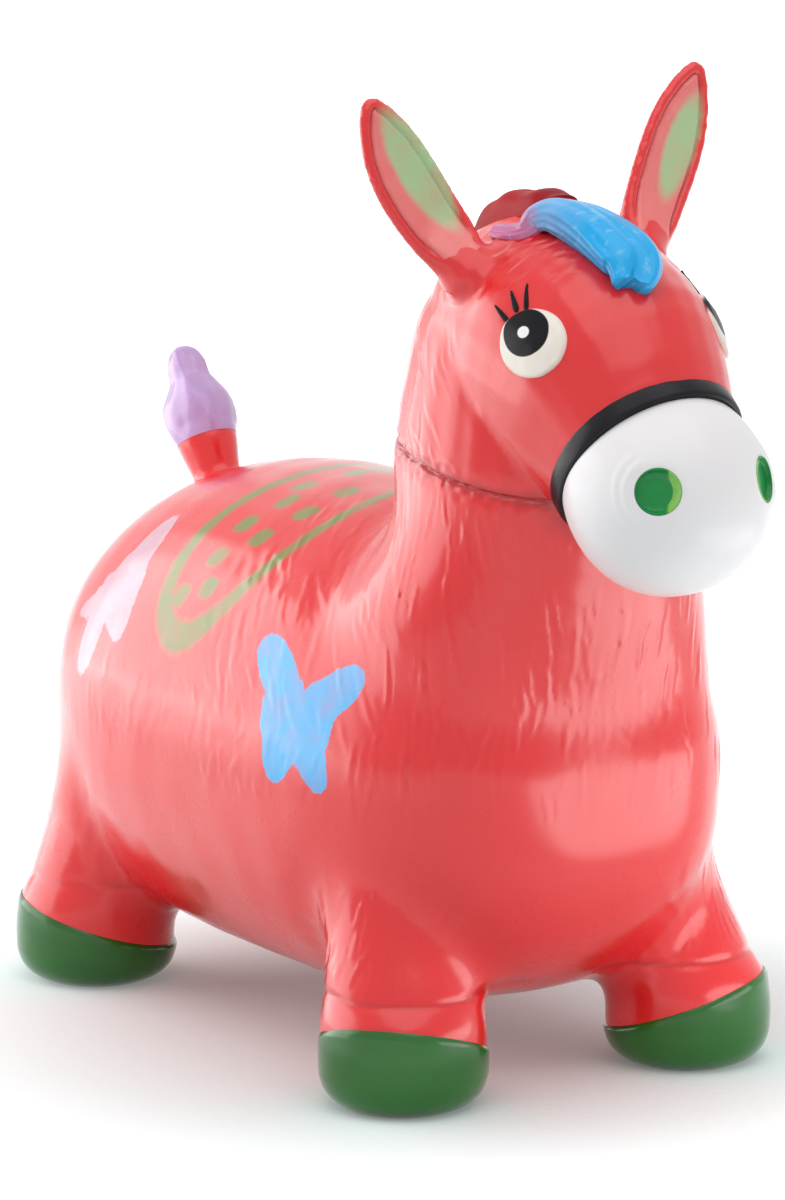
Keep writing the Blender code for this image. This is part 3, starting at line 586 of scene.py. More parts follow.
def soft_noise(points, scale, seed):
    """A smooth field of about plus or minus one, built of a few waves in random directions."""
    random = np.random.default_rng(seed)
    total = np.zeros(len(points))
    waves = 9
    for _ in range(waves):
        direction = random.normal(size=3)
        direction /= np.linalg.norm(direction)
        phase = random.uniform(0.0, 2.0 * math.pi)
        total += np.sin(points @ direction * (2.0 * math.pi / scale) * random.uniform(0.7, 1.4) + phase)
    return total / math.sqrt(waves)


def side_angle(points):
    """Angle round the trunk from the top of the back down the side, in radians."""
    return np.arctan2(np.abs(points[:, 0]), points[:, 2] - BACK_HEIGHT)


def hair_on_chest(points):
    """Long upright strokes round the front of the neck."""
    x, y, z = points.T
    arc = np.arctan2(x, -(y + 0.09)) * 0.105
    here = smoothstep(-y, 0.075, 0.115) * smoothstep(z, 0.135, 0.175)
    return here * stroke_relief(arc, z, 11, 190, (-0.17, 0.17, 0.14, 0.33), 0.0, 0.14,
                                (0.018, 0.044), (0.0009, 0.0014), (0.00015, 0.00055))


def hair_on_side(points, side, seed):
    """Strokes of one side: slanted on the shoulder, faint on the flank and upright over the legs."""
    x, y, z = points.T
    roll = side_angle(points) * BACK_RADIUS
    here = smoothstep(side * x, 0.005, 0.030)
    shoulder = here * between(y, -0.125, -0.085, 0.035, 0.085) * smoothstep(z, 0.150, 0.185)
    relief = shoulder * stroke_relief(y, roll, seed, 280, (-0.13, 0.085, -0.02, 0.17), -0.52, 0.20,
                                      (0.016, 0.046), (0.0010, 0.0017), (0.00008, 0.00030))
    flank = here * between(y, -0.05, 0.0, 0.195, 0.235) * smoothstep(z, 0.070, 0.100)
    relief += flank * stroke_relief(y, roll, seed + 1, 150, (-0.05, 0.24, 0.02, 0.25), 0.10, 0.22,
                                    (0.012, 0.034), (0.0015, 0.0024), (0.00003, 0.00010))
    fringe = smoothstep(side * x, 0.080, 0.100) * smoothstep(-y, -0.20, -0.17)
    relief += fringe * stroke_relief(y, z, seed + 2, 90, (-0.09, 0.19, 0.150, 0.200), 0.0, 0.22,
                                     (0.010, 0.024), (0.0011, 0.0018), (0.00005, 0.00020))
    return relief


def hair_on_leg(points, end, side):
    """Short upright strokes round a leg above its ankle."""
    x, y, z = points.T
    leg_y = LEG_PLACES[end]
    arc = np.arctan2(side * x - LEG_SPREAD, y - leg_y) * 0.044
    near = smoothstep(-np.hypot(side * x - LEG_SPREAD, y - leg_y), -0.085, -0.060)
    near = near * between(z, 0.062, 0.072, 0.105, 0.135)
    seed = 41 + int(leg_y > 0) + 2 * int(side > 0)
    return near * stroke_relief(arc, z, seed, 100, (-0.14, 0.14, 0.06, 0.13), 0.0, 0.15,
                                (0.012, 0.032), (0.0010, 0.0016), (0.00012, 0.00045))


def hair_on_trunk(points):
    """Moulded hair of chest, shoulders, flanks and legs, in metres along the normal."""
    relief = hair_on_chest(points)
    for side, seed in ((1.0, 21), (-1.0, 31)):
        relief += hair_on_side(points, side, seed)
    for end, _, side in LEGS:
        relief += hair_on_leg(points, end, side)
    return relief


def hair_on_head(points):
    """Moulded hair on the cheeks and below the forelock."""
    x, y, z = points.T
    relief = np.zeros(len(points))
    for side, seed in ((1.0, 61), (-1.0, 71)):
        cheek = smoothstep(side * x, 0.022, 0.040) * smoothstep(y, -0.135, -0.110)
        cheek = cheek * smoothstep(-z, -0.425, -0.395)
        relief += cheek * stroke_relief(y, z, seed, 80, (-0.14, -0.02, 0.32, 0.43), 0.62, 0.30,
                                        (0.012, 0.034), (0.0009, 0.0015), (0.00006, 0.00024))
        poll = smoothstep(side * x, 0.004, 0.014) * smoothstep(z, 0.425, 0.442)
        poll = poll * smoothstep(y, -0.185, -0.165)
        relief += poll * stroke_relief(y, side * x, seed + 1, 46, (-0.18, -0.09, 0.0, 0.06), 0.55, 0.35,
                                       (0.012, 0.030), (0.0009, 0.0016), (0.00025, 0.00070))
    return relief


def groove(distance, depth, width):
    """A rounded furrow along a line at distance nought."""
    return -depth * np.exp(-0.5 * (distance / width) ** 2)


def crease_distance(points):
    return (points - np.array(CREASE_POINT)) @ np.array(CREASE_NORMAL)


def crease_relief(points):
    """The jaw crease: a thin deep line in a shallow fold, a little wavy, with short cross wrinkles."""
    off = crease_distance(points) + 0.0004 * soft_noise(points, 0.022, 5)
    wrinkle = 0.00018 * soft_noise(points, 0.0075, 6) * np.exp(-0.5 * (off / 0.006) ** 2)
    return groove(off, 0.0014, 0.0007) + groove(off, 0.0011, 0.0035) + wrinkle


# Painted zones, each a distance in metres, negative inside

def polar_shape(across, up, centre, outline):
    """Distance to a closed shape whose reach is given at a few angles, in degrees."""
    da, db = across - centre[0], up - centre[1]
    angle = np.degrees(np.arctan2(db, da)) % 360.0
    angles = np.array([row[0] for row in outline] + [outline[0][0] + 360.0])
    reaches = np.array([row[1] for row in outline] + [outline[0][1]])
    slot = np.clip(np.searchsorted(angles, angle, side="right") - 1, 0, len(angles) - 2)
    share = (angle - angles[slot]) / (angles[slot + 1] - angles[slot])
    share = np.where(share < 0.0, 0.0, share)
    ease = 0.5 - 0.5 * np.cos(math.pi * share)
    reach = reaches[slot] * (1.0 - ease) + reaches[slot + 1] * ease
    slope = (reaches[slot + 1] - reaches[slot]) / np.radians(angles[slot + 1] - angles[slot])
    distance = np.hypot(da, db)
    return (distance - reach) / np.sqrt(1.0 + (slope / np.maximum(distance, 0.01)) ** 2)


def shoulder_butterfly(points):
    """A plain four-winged butterfly on each shoulder."""
    outline = [(8, 0.030), (32, 0.056), (74, 0.017), (96, 0.012), (112, 0.018), (146, 0.048),
               (182, 0.028), (206, 0.030), (236, 0.046), (262, 0.027), (292, 0.042), (330, 0.030)]
    return polar_shape(points[:, 1], points[:, 2], (-0.0520, 0.2010), outline)


def rump_butterfly(points):
    """A plain pale butterfly on each side of the rump."""
    outline = [(15, 0.018), (48, 0.014), (78, 0.020), (110, 0.044), (142, 0.030), (180, 0.030),
               (216, 0.034), (252, 0.016), (290, 0.050), (318, 0.026), (334, 0.040), (352, 0.022)]
    return polar_shape(points[:, 1], points[:, 2], (0.1600, 0.2280), outline)


def saddle_zone(points):
    """A painted oval across the back: a line round its edge and rows of spots inside."""
    y = points[:, 1]
    angle = side_angle(points)
    arc = angle * BACK_RADIUS
    middle = 0.0755 - 0.024 * smoothstep(-np.degrees(angle), -70.0, -8.0)
    bulge_at, low_end = math.radians(29.0) * BACK_RADIUS, math.radians(67.0) * BACK_RADIUS
    beyond = np.maximum(arc - bulge_at, 0.0) / (low_end - bulge_at)
    waist = 0.0045 * smoothstep(-angle, -math.radians(27.0), 0.0)
    half_length = 0.043 - waist
    reach = np.hypot((y - middle) / half_length, beyond)
    edge = (reach - 1.0) * 0.034
    line = np.abs(edge) - 0.0037
    spots = np.full(len(points), 1.0)
    for row_arc, row_y in SADDLE_SPOTS:
        da, dy = np.abs(arc - row_arc), np.abs(y - middle - row_y)
        spots = np.minimum(spots, (da ** 3 + dy ** 3) ** (1.0 / 3.0) - SADDLE_SPOT_HALF)
    return np.minimum(line, spots)


# Materials

class Graph:
    """One node material: node() adds a node, and values may be numbers or other nodes' sockets."""

    def __init__(self, name):
        self.material = bpy.data.materials.new(name)
        self.material.use_nodes = True
        self.tree = self.material.node_tree
        self.shader = self.tree.nodes["Principled BSDF"]

    def put(self, socket, value):
        if isinstance(value, bpy.types.NodeSocket):
            self.tree.links.new(value, socket)
        else:
            socket.default_value = value

    def node(self, kind, values=(), **settings):
        made = self.tree.nodes.new("ShaderNode" + kind)
        for key, value in settings.items():
            setattr(made, key, value)
        for socket, value in dict(values).items():
            self.put(made.inputs[socket], value)
        return made

    def set(self, **values):
        for name, value in values.items():
            self.put(self.shader.inputs[name.replace("_", " ")], value)

    def place(self):
        return self.node("TexCoord").outputs["Object"]

    def attribute(self, name):
        return self.node("Attribute", attribute_name=name).outputs["Fac"]

    def noise(self, scale, detail=3.0):
        made = self.node("TexNoise", {"Vector": self.place(), "Scale": scale, "Detail": detail})
        return made.outputs["Fac"]

    def math(self, operation, first, second=0.0, third=0.0):
        made = self.node("Math", {0: first, 1: second, 2: third}, operation=operation)
        return made.outputs[0]

    def ramp(self, value, low, high, start=0.0, end=1.0):
        made = self.node("MapRange", {"Value": value, "From Min": low, "From Max": high,
                                      "To Min": start, "To Max": end}, interpolation_type="SMOOTHSTEP")
        return made.outputs["Result"]

    def mix(self, share, first, second):
        made = self.node("Mix", data_type="RGBA")
        self.put(made.inputs["Factor"], share)
        self.put(made.inputs[6], colour(first))
        self.put(made.inputs[7], colour(second))
        return made.outputs[2]

    def bump(self, height, distance, strength, normal=None):
        made = self.node("Bump", {"Height": height, "Distance": distance, "Strength": strength})
        if normal is not None:
            self.put(made.inputs["Normal"], normal)
        return made.outputs["Normal"]


def colour(value):
    return (*value, 1.0) if isinstance(value, tuple) and len(value) == 3 else value


def moulded_finish(graph, base, gloss=0.28, coat=0.9, grain=1.0, specular=0.20):
    """The surface of soft moulded vinyl: a glossy skin with faint grain and uneven gloss."""
    cloud = graph.noise(38.0, 4.0)
    rough = graph.ramp(cloud, 0.30, 0.72, gloss - 0.030, gloss + 0.060)
    normal = graph.bump(graph.noise(95.0, 2.0), 0.0006, 0.10 * grain)
    normal = graph.bump(graph.noise(760.0), 0.00012, 0.22 * grain, normal)
    graph.set(Base_Color=base, Roughness=rough, Normal=normal, Coat_Weight=coat, Coat_Roughness=0.19,
              IOR=1.46, Specular_IOR_Level=specular)
    return graph.material


def paint_over(graph, below, distance, paint, soft, ragged, strength):
    """Sprayed paint: its edge is soft and a little ragged, and thin where the spray was thin."""
    wobble = graph.math("MULTIPLY_ADD", graph.noise(260.0), 2.0 * ragged, -ragged)
    edge = graph.math("ADD", distance, wobble)
    share = graph.ramp(edge, -soft, soft, 1.0, 0.0)
    thin = graph.ramp(graph.noise(70.0, 4.0), 0.25, 0.65, 0.80 * strength, strength)
    return graph.mix(graph.math("MULTIPLY", share, thin), below, paint)


def red_vinyl(name, zones=()):
    """The red skin, darkened in its furrows as painted shade; zones are (attribute, colour, softness,
    raggedness, strength).
    """
    graph = Graph(name)
    base = graph.mix(graph.ramp(graph.noise(9.0), 0.35, 0.70, 0.0, 0.45), RED, PINK_RED)
    base = graph.mix(graph.ramp(graph.noise(140.0), 0.58, 0.82, 0.0, 0.12), base, DARK_RED)
    # Painted shade: the skin turns dark red in its moulded furrows, grooves and the jaw crease, where shade
    # falls.
    painted_furrow_shade = graph.ramp(graph.attribute("relief"), -0.0002, -0.0012, 0.0, 0.55)
    base = graph.mix(painted_furrow_shade, base, DARK_RED)
    for attribute, paint, soft, ragged, strength in zones:
        base = paint_over(graph, base, graph.attribute(attribute), paint, soft, ragged, strength)
    return moulded_finish(graph, base)


def plain_vinyl(name, first, second, scale, **finish):
    """Vinyl of one paint that varies a little between two tones."""
    graph = Graph(name)
    base = graph.mix(graph.ramp(graph.noise(scale, 3.0), 0.35, 0.70), first, second)
    return moulded_finish(graph, base, **finish)


# The trunk

def trunk_zone(centres):
    """Where the trunk is cut finer for its moulded hair."""
    x, y, z = centres.T
    below = crease_distance(centres) < 0.004
    chest = (y < -0.085) & (z > 0.155)
    shoulder = (np.abs(x) > 0.030) & (y < 0.035) & (z > 0.155)
    fringe = (np.abs(x) > 0.095) & (y < 0.165) & (z > 0.150) & (z < 0.200)
    legs = (z < 0.115) & (z > 0.054) & (np.abs(x) > 0.045) & (y < -0.03)
    return below & (chest | shoulder | fringe | legs)


def fine_zone(centres):
    """Where the trunk is cut finer once more: the crease and the tail's root."""
    crease = np.abs(crease_distance(centres) + 0.001) < 0.004
    tail = np.linalg.norm(centres - np.array(TAIL_ROOT + TAIL_AXIS * 0.012), axis=1) < 0.026
    return crease | tail


def coronet_plane(side, end):
    """The slanted plane between a leg and its hoof."""
    inward = 1.0 if end == "fore" else -1.0
    slope = Vector((-side * math.sin(HOOF_SIDE_SLANT), inward * math.sin(HOOF_END_SLANTS[end]), 1.0))
    return Vector((side * LEG_SPREAD, LEG_PLACES[end], HOOF_HEIGHT)), slope.normalized()


def crease_stiffness(points):
    """Low at the jaw crease, so that smoothing keeps the fold between the two bulges."""
    return 0.20 + 0.80 * smoothstep(np.abs(crease_distance(points)), 0.003, 0.016)


def flare_stem(points):
    """Makes the tail's stem round, and wider towards the tuft."""
    axis = np.array(TAIL_AXIS)
    local = points - np.array(TAIL_ROOT)
    height = local @ axis
    spoke = local - height[:, None] * axis
    radius = np.linalg.norm(spoke, axis=1)
    near = (radius > 0.009) & (radius < 0.024) & (height > 0.0) & (points[:, 1] > TAIL_FRONT)
    wanted = STEM_RADIUS + (STEM_TOP_RADIUS - STEM_RADIUS) * smoothstep(height, 0.006, 0.030)
    share = np.where(near, smoothstep(height, 0.003, 0.012), 0.0)
    return points + spoke * (share * (wanted / np.maximum(radius, 0.001) - 1.0))[:, None]


def smooth_trunk():
    """Trunk, neck and legs as one skin without its mouldings, and its points."""
    solids = ["torso", "neck", "head", "muzzle", "tail_stem", "valve_seat"] + LEG_NODES
    nodes = {node: GROW for node in solids}
    nodes["muzzle"] = -0.0030
    nodes.update({f"{end}_hoof_{hand}": -0.0008 for end, hand, _ in LEGS})
    crease_height = CREASE_POINT.dot(CREASE_NORMAL)
    trunk = joined_skin("skin_trunk", nodes, TRUNK_VOXEL, CREASE_NORMAL,
                        crease_height + TRUNK_BEYOND_CREASE)
    points, edges = positions(trunk.data), edge_pairs(trunk.data)
    per_round = (0.0030 / TRUNK_VOXEL) ** 2    # the rounds below are meant for voxels of 3 mm
    from_tail = np.linalg.norm(points - np.array(TAIL_ROOT + TAIL_AXIS * 0.018), axis=1)
    weights = crease_stiffness(points) * (0.12 + 0.88 * smoothstep(from_tail, 0.020, 0.034))
    points = even_out(points, edges, max(20, int(110 * per_round)), weights)
    meetings = ((["neck"], 0.034, 90), (LEG_NODES, 0.030, 70), (["tail_stem"], 0.020, 14))
    set_positions(trunk.data, soften_meetings(points, edges, "torso", meetings, per_round))
    refine(trunk, trunk_zone)
    refine(trunk, fine_zone)
    points = flare_stem(even_out(positions(trunk.data), edge_pairs(trunk.data), 8))
    set_positions(trunk.data, points)
    return trunk, points


def mould_trunk(trunk, points):
    """Adds hair, crease, ankle grooves and the swellings at the shoulders, and marks the painted zones."""
    relief = hair_on_trunk(points) + crease_relief(points)
    ankle = groove(points[:, 2] - ANKLE_GROOVE_HEIGHT, 0.0008, 0.0015)
    for end, _, side in LEGS:
        away = np.hypot(points[:, 0] - side * LEG_SPREAD, points[:, 1] - LEG_PLACES[end])
        relief += np.where(away < LEG_REACH, ankle, 0.0)
    broad = 0.00012 * soft_noise(points, 0.050, 3) + swell(points, SHOULDER)
    points = push_out(trunk.data, points, relief + broad)
    set_attribute(trunk, "relief", relief)
    set_attribute(trunk, "saddle", saddle_zone(points))
    set_attribute(trunk, "sky", shoulder_butterfly(points))
    set_attribute(trunk, "pale", rump_butterfly(points))


def part_tail(trunk):
    """Takes the tail's stem from the trunk as a piece of its own; both are closed where it was cut."""
    tail = new_object("tail_stem_skin", trunk.data.copy())
    root = TAIL_ROOT + TAIL_AXIS * TAIL_CUT_HEIGHT
    cut_off(tail, root, -TAIL_AXIS)
    cut_off(tail, Y_AXIS * TAIL_FRONT, -Y_AXIS, cap=False)
    keep_shell(tail, root)
    cut_off(tail, TAIL_ROOT + TAIL_AXIS * STEM_END, TAIL_AXIS)

    def by_tail(place):
        above_root = (place - TAIL_ROOT).dot(TAIL_AXIS) > -0.004
        return above_root and abs(place.x) < 0.030 and place.y > TAIL_FRONT

    cut_off(trunk, root, TAIL_AXIS, by_tail)
    return tail


def cut_hooves(trunk):
    """Ends each leg at its slanted coronet."""
    for end, _, side in LEGS:
        point, normal = coronet_plane(side, end)

        def by_hoof(place, side=side, leg_y=LEG_PLACES[end]):
            near = math.hypot(place.x - side * LEG_SPREAD, place.y - leg_y) < HOOF_REACH
            return near and place.z < HOOF_REACH_HEIGHT

        cut_off(trunk, point, -normal, by_hoof)


def make_trunk():
    """Trunk, neck and legs as one skin, and the tail's stem parted from it."""
    trunk, points = smooth_trunk()
    mould_trunk(trunk, points)
    tail = part_tail(trunk)
    cut_off(trunk, CREASE_POINT, CREASE_NORMAL)
    cut_hooves(trunk)
    bore(trunk, Matrix.Translation(VALVE_CENTRE), VALVE_BORE_RADIUS, -0.020, VALVE_BORE_TOP)
    for item in (trunk, tail):
        shade_smooth(item.data)
    return trunk, tail


# The head and the ears

def to_ear(points, hand):
    """Places in an ear's own frame: across, through (towards the back) and up the ear."""
    origin, across, through, up = EAR_FRAMES[hand]
    local = points - np.array(origin)
    return np.stack([local @ np.array(across), local @ np.array(through), local @ np.array(up)], axis=1)


def ear_share(points):
    """1 on the ears, 0 on the head."""
    total = np.zeros(len(points))
    for hand in HANDS:
        across, through, up = to_ear(points, hand).T
        near = (np.abs(across) < 0.032) & (np.abs(through) < 0.026)
        total += np.where(near, smoothstep(up, 0.003, 0.014), 0.0)
    return total


def ear_edge(points, hand):
    """How far a point of the ear's hollow face lies inside the leaf's outline."""
    across, _, up = to_ear(points, hand).T
    length = EAR_LENGTHS[hand]
    along = up / length
    half_width = EAR_WIDTH / 2 * np.interp(along, EAR_LEAF[:, 0], EAR_LEAF[:, 1])
    widening = np.gradient(EAR_LEAF[:, 1], EAR_LEAF[:, 0])
    slope = EAR_WIDTH / 2 / length * np.interp(along, EAR_LEAF[:, 0], widening)
    middle = HANDS[hand] * EAR_BOWS[hand] * np.sin(math.pi * np.clip(along, 0.0, 1.0))
    return (half_width - np.abs(across - middle)) / np.sqrt(1.0 + slope ** 2)


def ear_relief(points, hand):
    """A rounded rim round the hollow, parted from it by a crisp furrow."""
    _, through, up = to_ear(points, hand).T
    inside = ear_edge(points, hand)
    front = smoothstep(-through, -0.0040, -0.0005) * smoothstep(up, 0.012, 0.026)
    furrow = groove(inside - EAR_RIM, 0.0015, 0.0007)
    rim = 0.0008 * smoothstep(-inside, -EAR_RIM, -0.0005)
    return front * (furrow + rim)


def ear_paint(points, hand):
    """Distance to the green oval in an ear's hollow; the back of the ear stays far from it."""
    across, through, up = to_ear(points, hand).T
    middle, height, half_width, half_length = EAR_OVALS[hand]
    share_across = np.abs((across - middle) / half_width)
    share_up = np.abs((up - height) / half_length)
    reach = (share_across ** EAR_OVAL_POWER + share_up ** EAR_OVAL_POWER) ** (1 / EAR_OVAL_POWER)
    return (reach - 1.0) * half_width + 2.0 * np.maximum(through - 0.0035, 0.0)


def head_zone(centres):
    """Where the head is cut finer: its moulded hair, the crease and the ears."""
    x, y, z = centres.T
    cheek = (np.abs(x) > 0.026) & (y > -0.130) & (z < 0.425)
    poll = (z > 0.430) & (y > -0.182)
    crease = np.abs(crease_distance(centres)) < 0.007
    ears = ear_share(centres) > 0.0
    return (cheek | poll | crease | ears) & (crease_distance(centres) > -0.006)


def smooth_head():
    """Skull, face and ears as one skin without its mouldings, and its points."""
    nodes = {"head": GROW, "neck": GROW, "muzzle": -0.0009, "ear_left": GROW, "ear_right": GROW}
    head = joined_skin("skin_head", nodes, HEAD_VOXEL, -Z_AXIS, -HEAD_BOTTOM)
    points, edges = positions(head.data), edge_pairs(head.data)
    per_round = (0.0017 / HEAD_VOXEL) ** 2    # the rounds below are meant for voxels of 1.7 mm
    weights = crease_stiffness(points) * (1.0 - 0.45 * ear_share(points))
    points = even_out(points, edges, max(30, int(150 * per_round)), weights)
    meetings = ((["neck"], 0.012, 20), (["ear_left"], 0.012, 30), (["ear_right"], 0.012, 30))
    set_positions(head.data, soften_meetings(points, edges, "head", meetings, per_round))
    refine(head, head_zone)
    points = even_out(positions(head.data), edge_pairs(head.data), 8)
    set_positions(head.data, points)
    return head, points


def part_ear(head, hand):
    """Takes a copy of one ear from the head's skin, moulds it and marks its painted zones."""
    origin, _, _, up = EAR_FRAMES[hand]
    ear = new_object(f"ear_{hand}_skin", head.data.copy())
    cut_off(ear, origin + up * EAR_CUT_HEIGHT, -up)
    keep_shell(ear, origin + up * 0.05)
    points = positions(ear.data)
    relief = ear_relief(points, hand)
    push_out(ear.data, points, relief)
    set_attribute(ear, "relief", relief)
    set_attribute(ear, "green", ear_paint(points, hand))
    _, through, above = to_ear(points, hand).T
    dish = EAR_RIM + 0.0006 - ear_edge(points, hand) + 2.0 * np.maximum(through, 0.0)
    dish_start = EAR_DISH_START + 0.0040 * soft_noise(points, 0.012, 8)
    set_attribute(ear, "dish", np.maximum(dish, dish_start - above))
    shade_smooth(ear.data)
    return ear


def cut_ears(head):
    """Takes both ears off the head and closes it there."""
    for origin, across, through, up in EAR_FRAMES.values():

        def by_ear(place, origin=origin, across=across, through=through, up=up):
            local = place - origin
            near = abs(local.dot(across)) < EAR_REACH_ACROSS and abs(local.dot(through)) < EAR_REACH_THROUGH
            return near and local.dot(up) > 0.002

        cut_off(head, origin + up * EAR_CUT_HEIGHT, up, by_ear)


def make_head():
    """Skull and face as one skin, and the two ears parted from it."""
    head, points = smooth_head()
    relief = (hair_on_head(points) + crease_relief(points)) * (1.0 - ear_share(points))
    push_out(head.data, points, relief + swell(points, TEMPLE))
    set_attribute(head, "relief", relief)
    ears = {hand: part_ear(head, hand) for hand in HANDS}
    cut_ears(head)
    cut_off(head, CREASE_POINT, -CREASE_NORMAL)
    cut_off(head, BAND_CENTRE + MUZZLE_FORWARD * 0.002, MUZZLE_FORWARD)
    keep_shell(head)
    shade_smooth(head.data)
    return head, ears


# Small parts

def oval_row(centre, across, up, half_across, half_up, sides, power=2.0):
    """A closed row of points round a centre, in the plane of two unit vectors."""
    row = []
    for angle in turns(sides):
        row.append(centre + across * (half_across * signed_power(math.cos(angle), 2.0 / power))
                   + up * (half_up * signed_power(math.sin(angle), 2.0 / power)))
    return row


def facing_matrix(place, facing, side):
    """A frame at a place that looks along facing, with its Y as near to up as it can be."""
    ahead = Vector((side * facing.x, facing.y, facing.z)).normalized()
    up = (Z_AXIS - ahead * ahead.z).normalized()
    across = up.cross(ahead).normalized()
    turn = Matrix((across, up, ahead)).transposed().to_4x4()
    return Matrix.Translation(Vector((side * place.x, place.y, place.z))) @ turn


def nostril_folds(points, side):
    """Two folds at the outer side of a nostril, and a faint furrow round its edge."""
    turn = np.array(facing_matrix(NOSTRIL_CENTRE, NOSTRIL_FACING, side).inverted())
    across, up, above = (points @ turn[:3, :3].T + turn[:3, 3]).T
    away = np.hypot(across, up)
    in_front = above > -0.025
    outer = smoothstep(side * across / np.maximum(away, 1e-6), 0.30, 0.85) * in_front
    relief = groove(away - NOSTRIL_RADIUS, 0.0005, NOSTRIL_FOLD_WIDTH) * in_front
    for reach, rise in NOSTRIL_FOLDS:
        relief -= outer * groove(away - reach, rise, NOSTRIL_FOLD_WIDTH)
    return relief


def make_muzzle():
    """The white end of the nose: a near ball with two bored nostrils and folds beside them."""
    sides, steps = ((240, 90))
    start = -MUZZLE_BACK / MUZZLE_RADIUS
    rows = []
    for step in range(steps):
        place = start + (1.0 - start) * math.sin(math.pi / 2 * step / steps)
        size = max(0.0, 1.0 - abs(place) ** MUZZLE_POWER) ** (1.0 / MUZZLE_POWER)
        centre = MUZZLE_MIDDLE + MUZZLE_FORWARD * (place * MUZZLE_RADIUS)
        rows.append(oval_row(centre, X_AXIS, MUZZLE_LIFT, MUZZLE_HALF_WIDTH * size,
                             MUZZLE_RADIUS * size, sides))
    muzzle = loft("muzzle_skin", rows, MUZZLE_MIDDLE + MUZZLE_FORWARD * MUZZLE_RADIUS)
    points = positions(muzzle.data)
    push_out(muzzle.data, points, sum(nostril_folds(points, side) for side in HANDS.values()))
    for side in HANDS.values():
        bore(muzzle, facing_matrix(NOSTRIL_CENTRE, NOSTRIL_FACING, side), NOSTRIL_RADIUS, -0.0060, 0.0100)
    shade_smooth(muzzle.data, 35.0)
    return muzzle


def make_noseband():
    """A rounded strap on the joint of face and muzzle."""
    rows = []
    for angle in turns(20):
        along = BAND_WIDTH / 2 * signed_power(math.cos(angle), 0.45)
        rise = 0.0027 * signed_power(math.sin(angle), 0.70) - 0.0004
        rows.append(oval_row(BAND_CENTRE + MUZZLE_FORWARD * along, X_AXIS, MUZZLE_LIFT,
                             BAND_HALF_SIDE + rise, BAND_HALF_LIFT + rise, 2 * LATHE_SIDES, BAND_POWER))
    return loft("noseband_strap", rows, loop=True, sharp_angle=80.0)


def make_hoof(hand, side, end):
    """A hoof with a rounded foot, a flat sole and a softly edged slanted top."""
    outline = [(0.0, SOLE_RADIUS / HOOF_RADIUS), (0.10, 0.81), (0.25, 0.925), (0.45, 0.985), (0.65, 1.0),
               (0.95, 1.0), (1.25, 0.975), (1.80, 0.93)]
    rows = []
    for place in shares(56):
        height_share, radius_share = smooth_curve(outline, place)
        centre = Vector((side * LEG_SPREAD, LEG_PLACES[end], max(0.0, height_share) * HOOF_HEIGHT))
        radius = radius_share * HOOF_RADIUS + 0.0002
        rows.append(oval_row(centre, X_AXIS, Y_AXIS, radius, radius, LATHE_SIDES))
    hoof = loft(f"{end}_hoof_{hand}_shell", rows)
    point, normal = coronet_plane(side, end)
    cut_off(hoof, point, normal)
    points = positions(hoof.data)
    below = (np.array(point) - points) @ np.array(normal)
    inward = np.array([side * LEG_SPREAD, LEG_PLACES[end], 0.0]) - points
    inward[:, 2] = 0.0
    inward /= np.maximum(np.linalg.norm(inward, axis=1), 1e-6)[:, None]
    rounding = HOOF_LIP * np.clip(1.0 - below / (2.0 * HOOF_LIP), 0.0, 1.0) ** 2
    points = points + inward * rounding[:, None]
    points[:, 2] = np.maximum(points[:, 2], 0.0)
    set_positions(hoof.data, points)
    shade_smooth(hoof.data, 45.0)
    return hoof


def make_tuft():
    """The lilac end of the tail: a body and a slimmer knob with slowly turning ridges."""
    sizes = [(0.0, 0.90), (0.10, 0.96), (0.27, 1.0), (0.42, 0.93), (0.57, 0.70), (0.66, 0.58),
             (0.80, 0.56), (0.92, 0.42), (0.98, 0.22)]
    turn = TAIL_AXIS.to_track_quat("Z", "Y").to_matrix()
    across, through = turn @ X_AXIS, turn @ Y_AXIS
    rows = []
    steps, sides = 64, 96
    for place in shares(steps):
        along, size = smooth_curve(sizes, place)
        centre = TAIL_ROOT + TAIL_AXIS * (TUFT_START + along * TUFT_LENGTH)
        row = []
        for angle in turns(sides):
            ridge = abs(math.sin(2.0 * angle + 1.5 * along + 0.4))
            lobe = 0.14 * (1.0 - ridge) - 0.07 + 0.012 * math.cos(9.0 * angle - 4.0 * along)
            lobe = 1.0 + lobe * float(smoothstep(along, -0.02, 0.16))
            reach = TUFT_RADIUS * size * lobe
            row.append(centre + across * (reach * math.cos(angle)) + through * (reach * math.sin(angle)))
        rows.append(row)
    return loft("tail_tuft_curl", rows, TAIL_ROOT + TAIL_AXIS * (TUFT_START + TUFT_LENGTH), sharp_angle=70.0)


def along_head(path, place):
    """A place on a path over the head: the point, the ways along and across it, and away from the skull."""
    here = Vector(smooth_curve(path, place))
    ahead = Vector(smooth_curve(path, place + 0.01))
    behind = Vector(smooth_curve(path, place - 0.01))
    along = (ahead - behind).normalized()
    across = along.cross((here - HEAD_CENTRE).normalized()).normalized()
    return here, along, across, across.cross(along).normalized()


def make_mane():
    """A rounded crest with a waved back from the poll down the back of the neck."""
    rows = []
    steps, sides = ((180, 72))
    for place in shares(steps):
        here, _, across, lift = along_head(MANE_PATH, place)
        taper = max(0.0, 1.0 - abs(2.0 * place - 1.0) ** 5.0) ** 0.2
        wave = 1.0 + 0.08 * math.cos(2.0 * math.pi * 9.0 * place)
        rows.append(oval_row(here, across, lift, MANE_WIDTH / 2 * (0.55 + 0.45 * taper),
                             MANE_RISE * wave * (0.45 + 0.55 * taper), sides, 2.6))
    return loft("mane_crest", rows, sharp_angle=60.0)


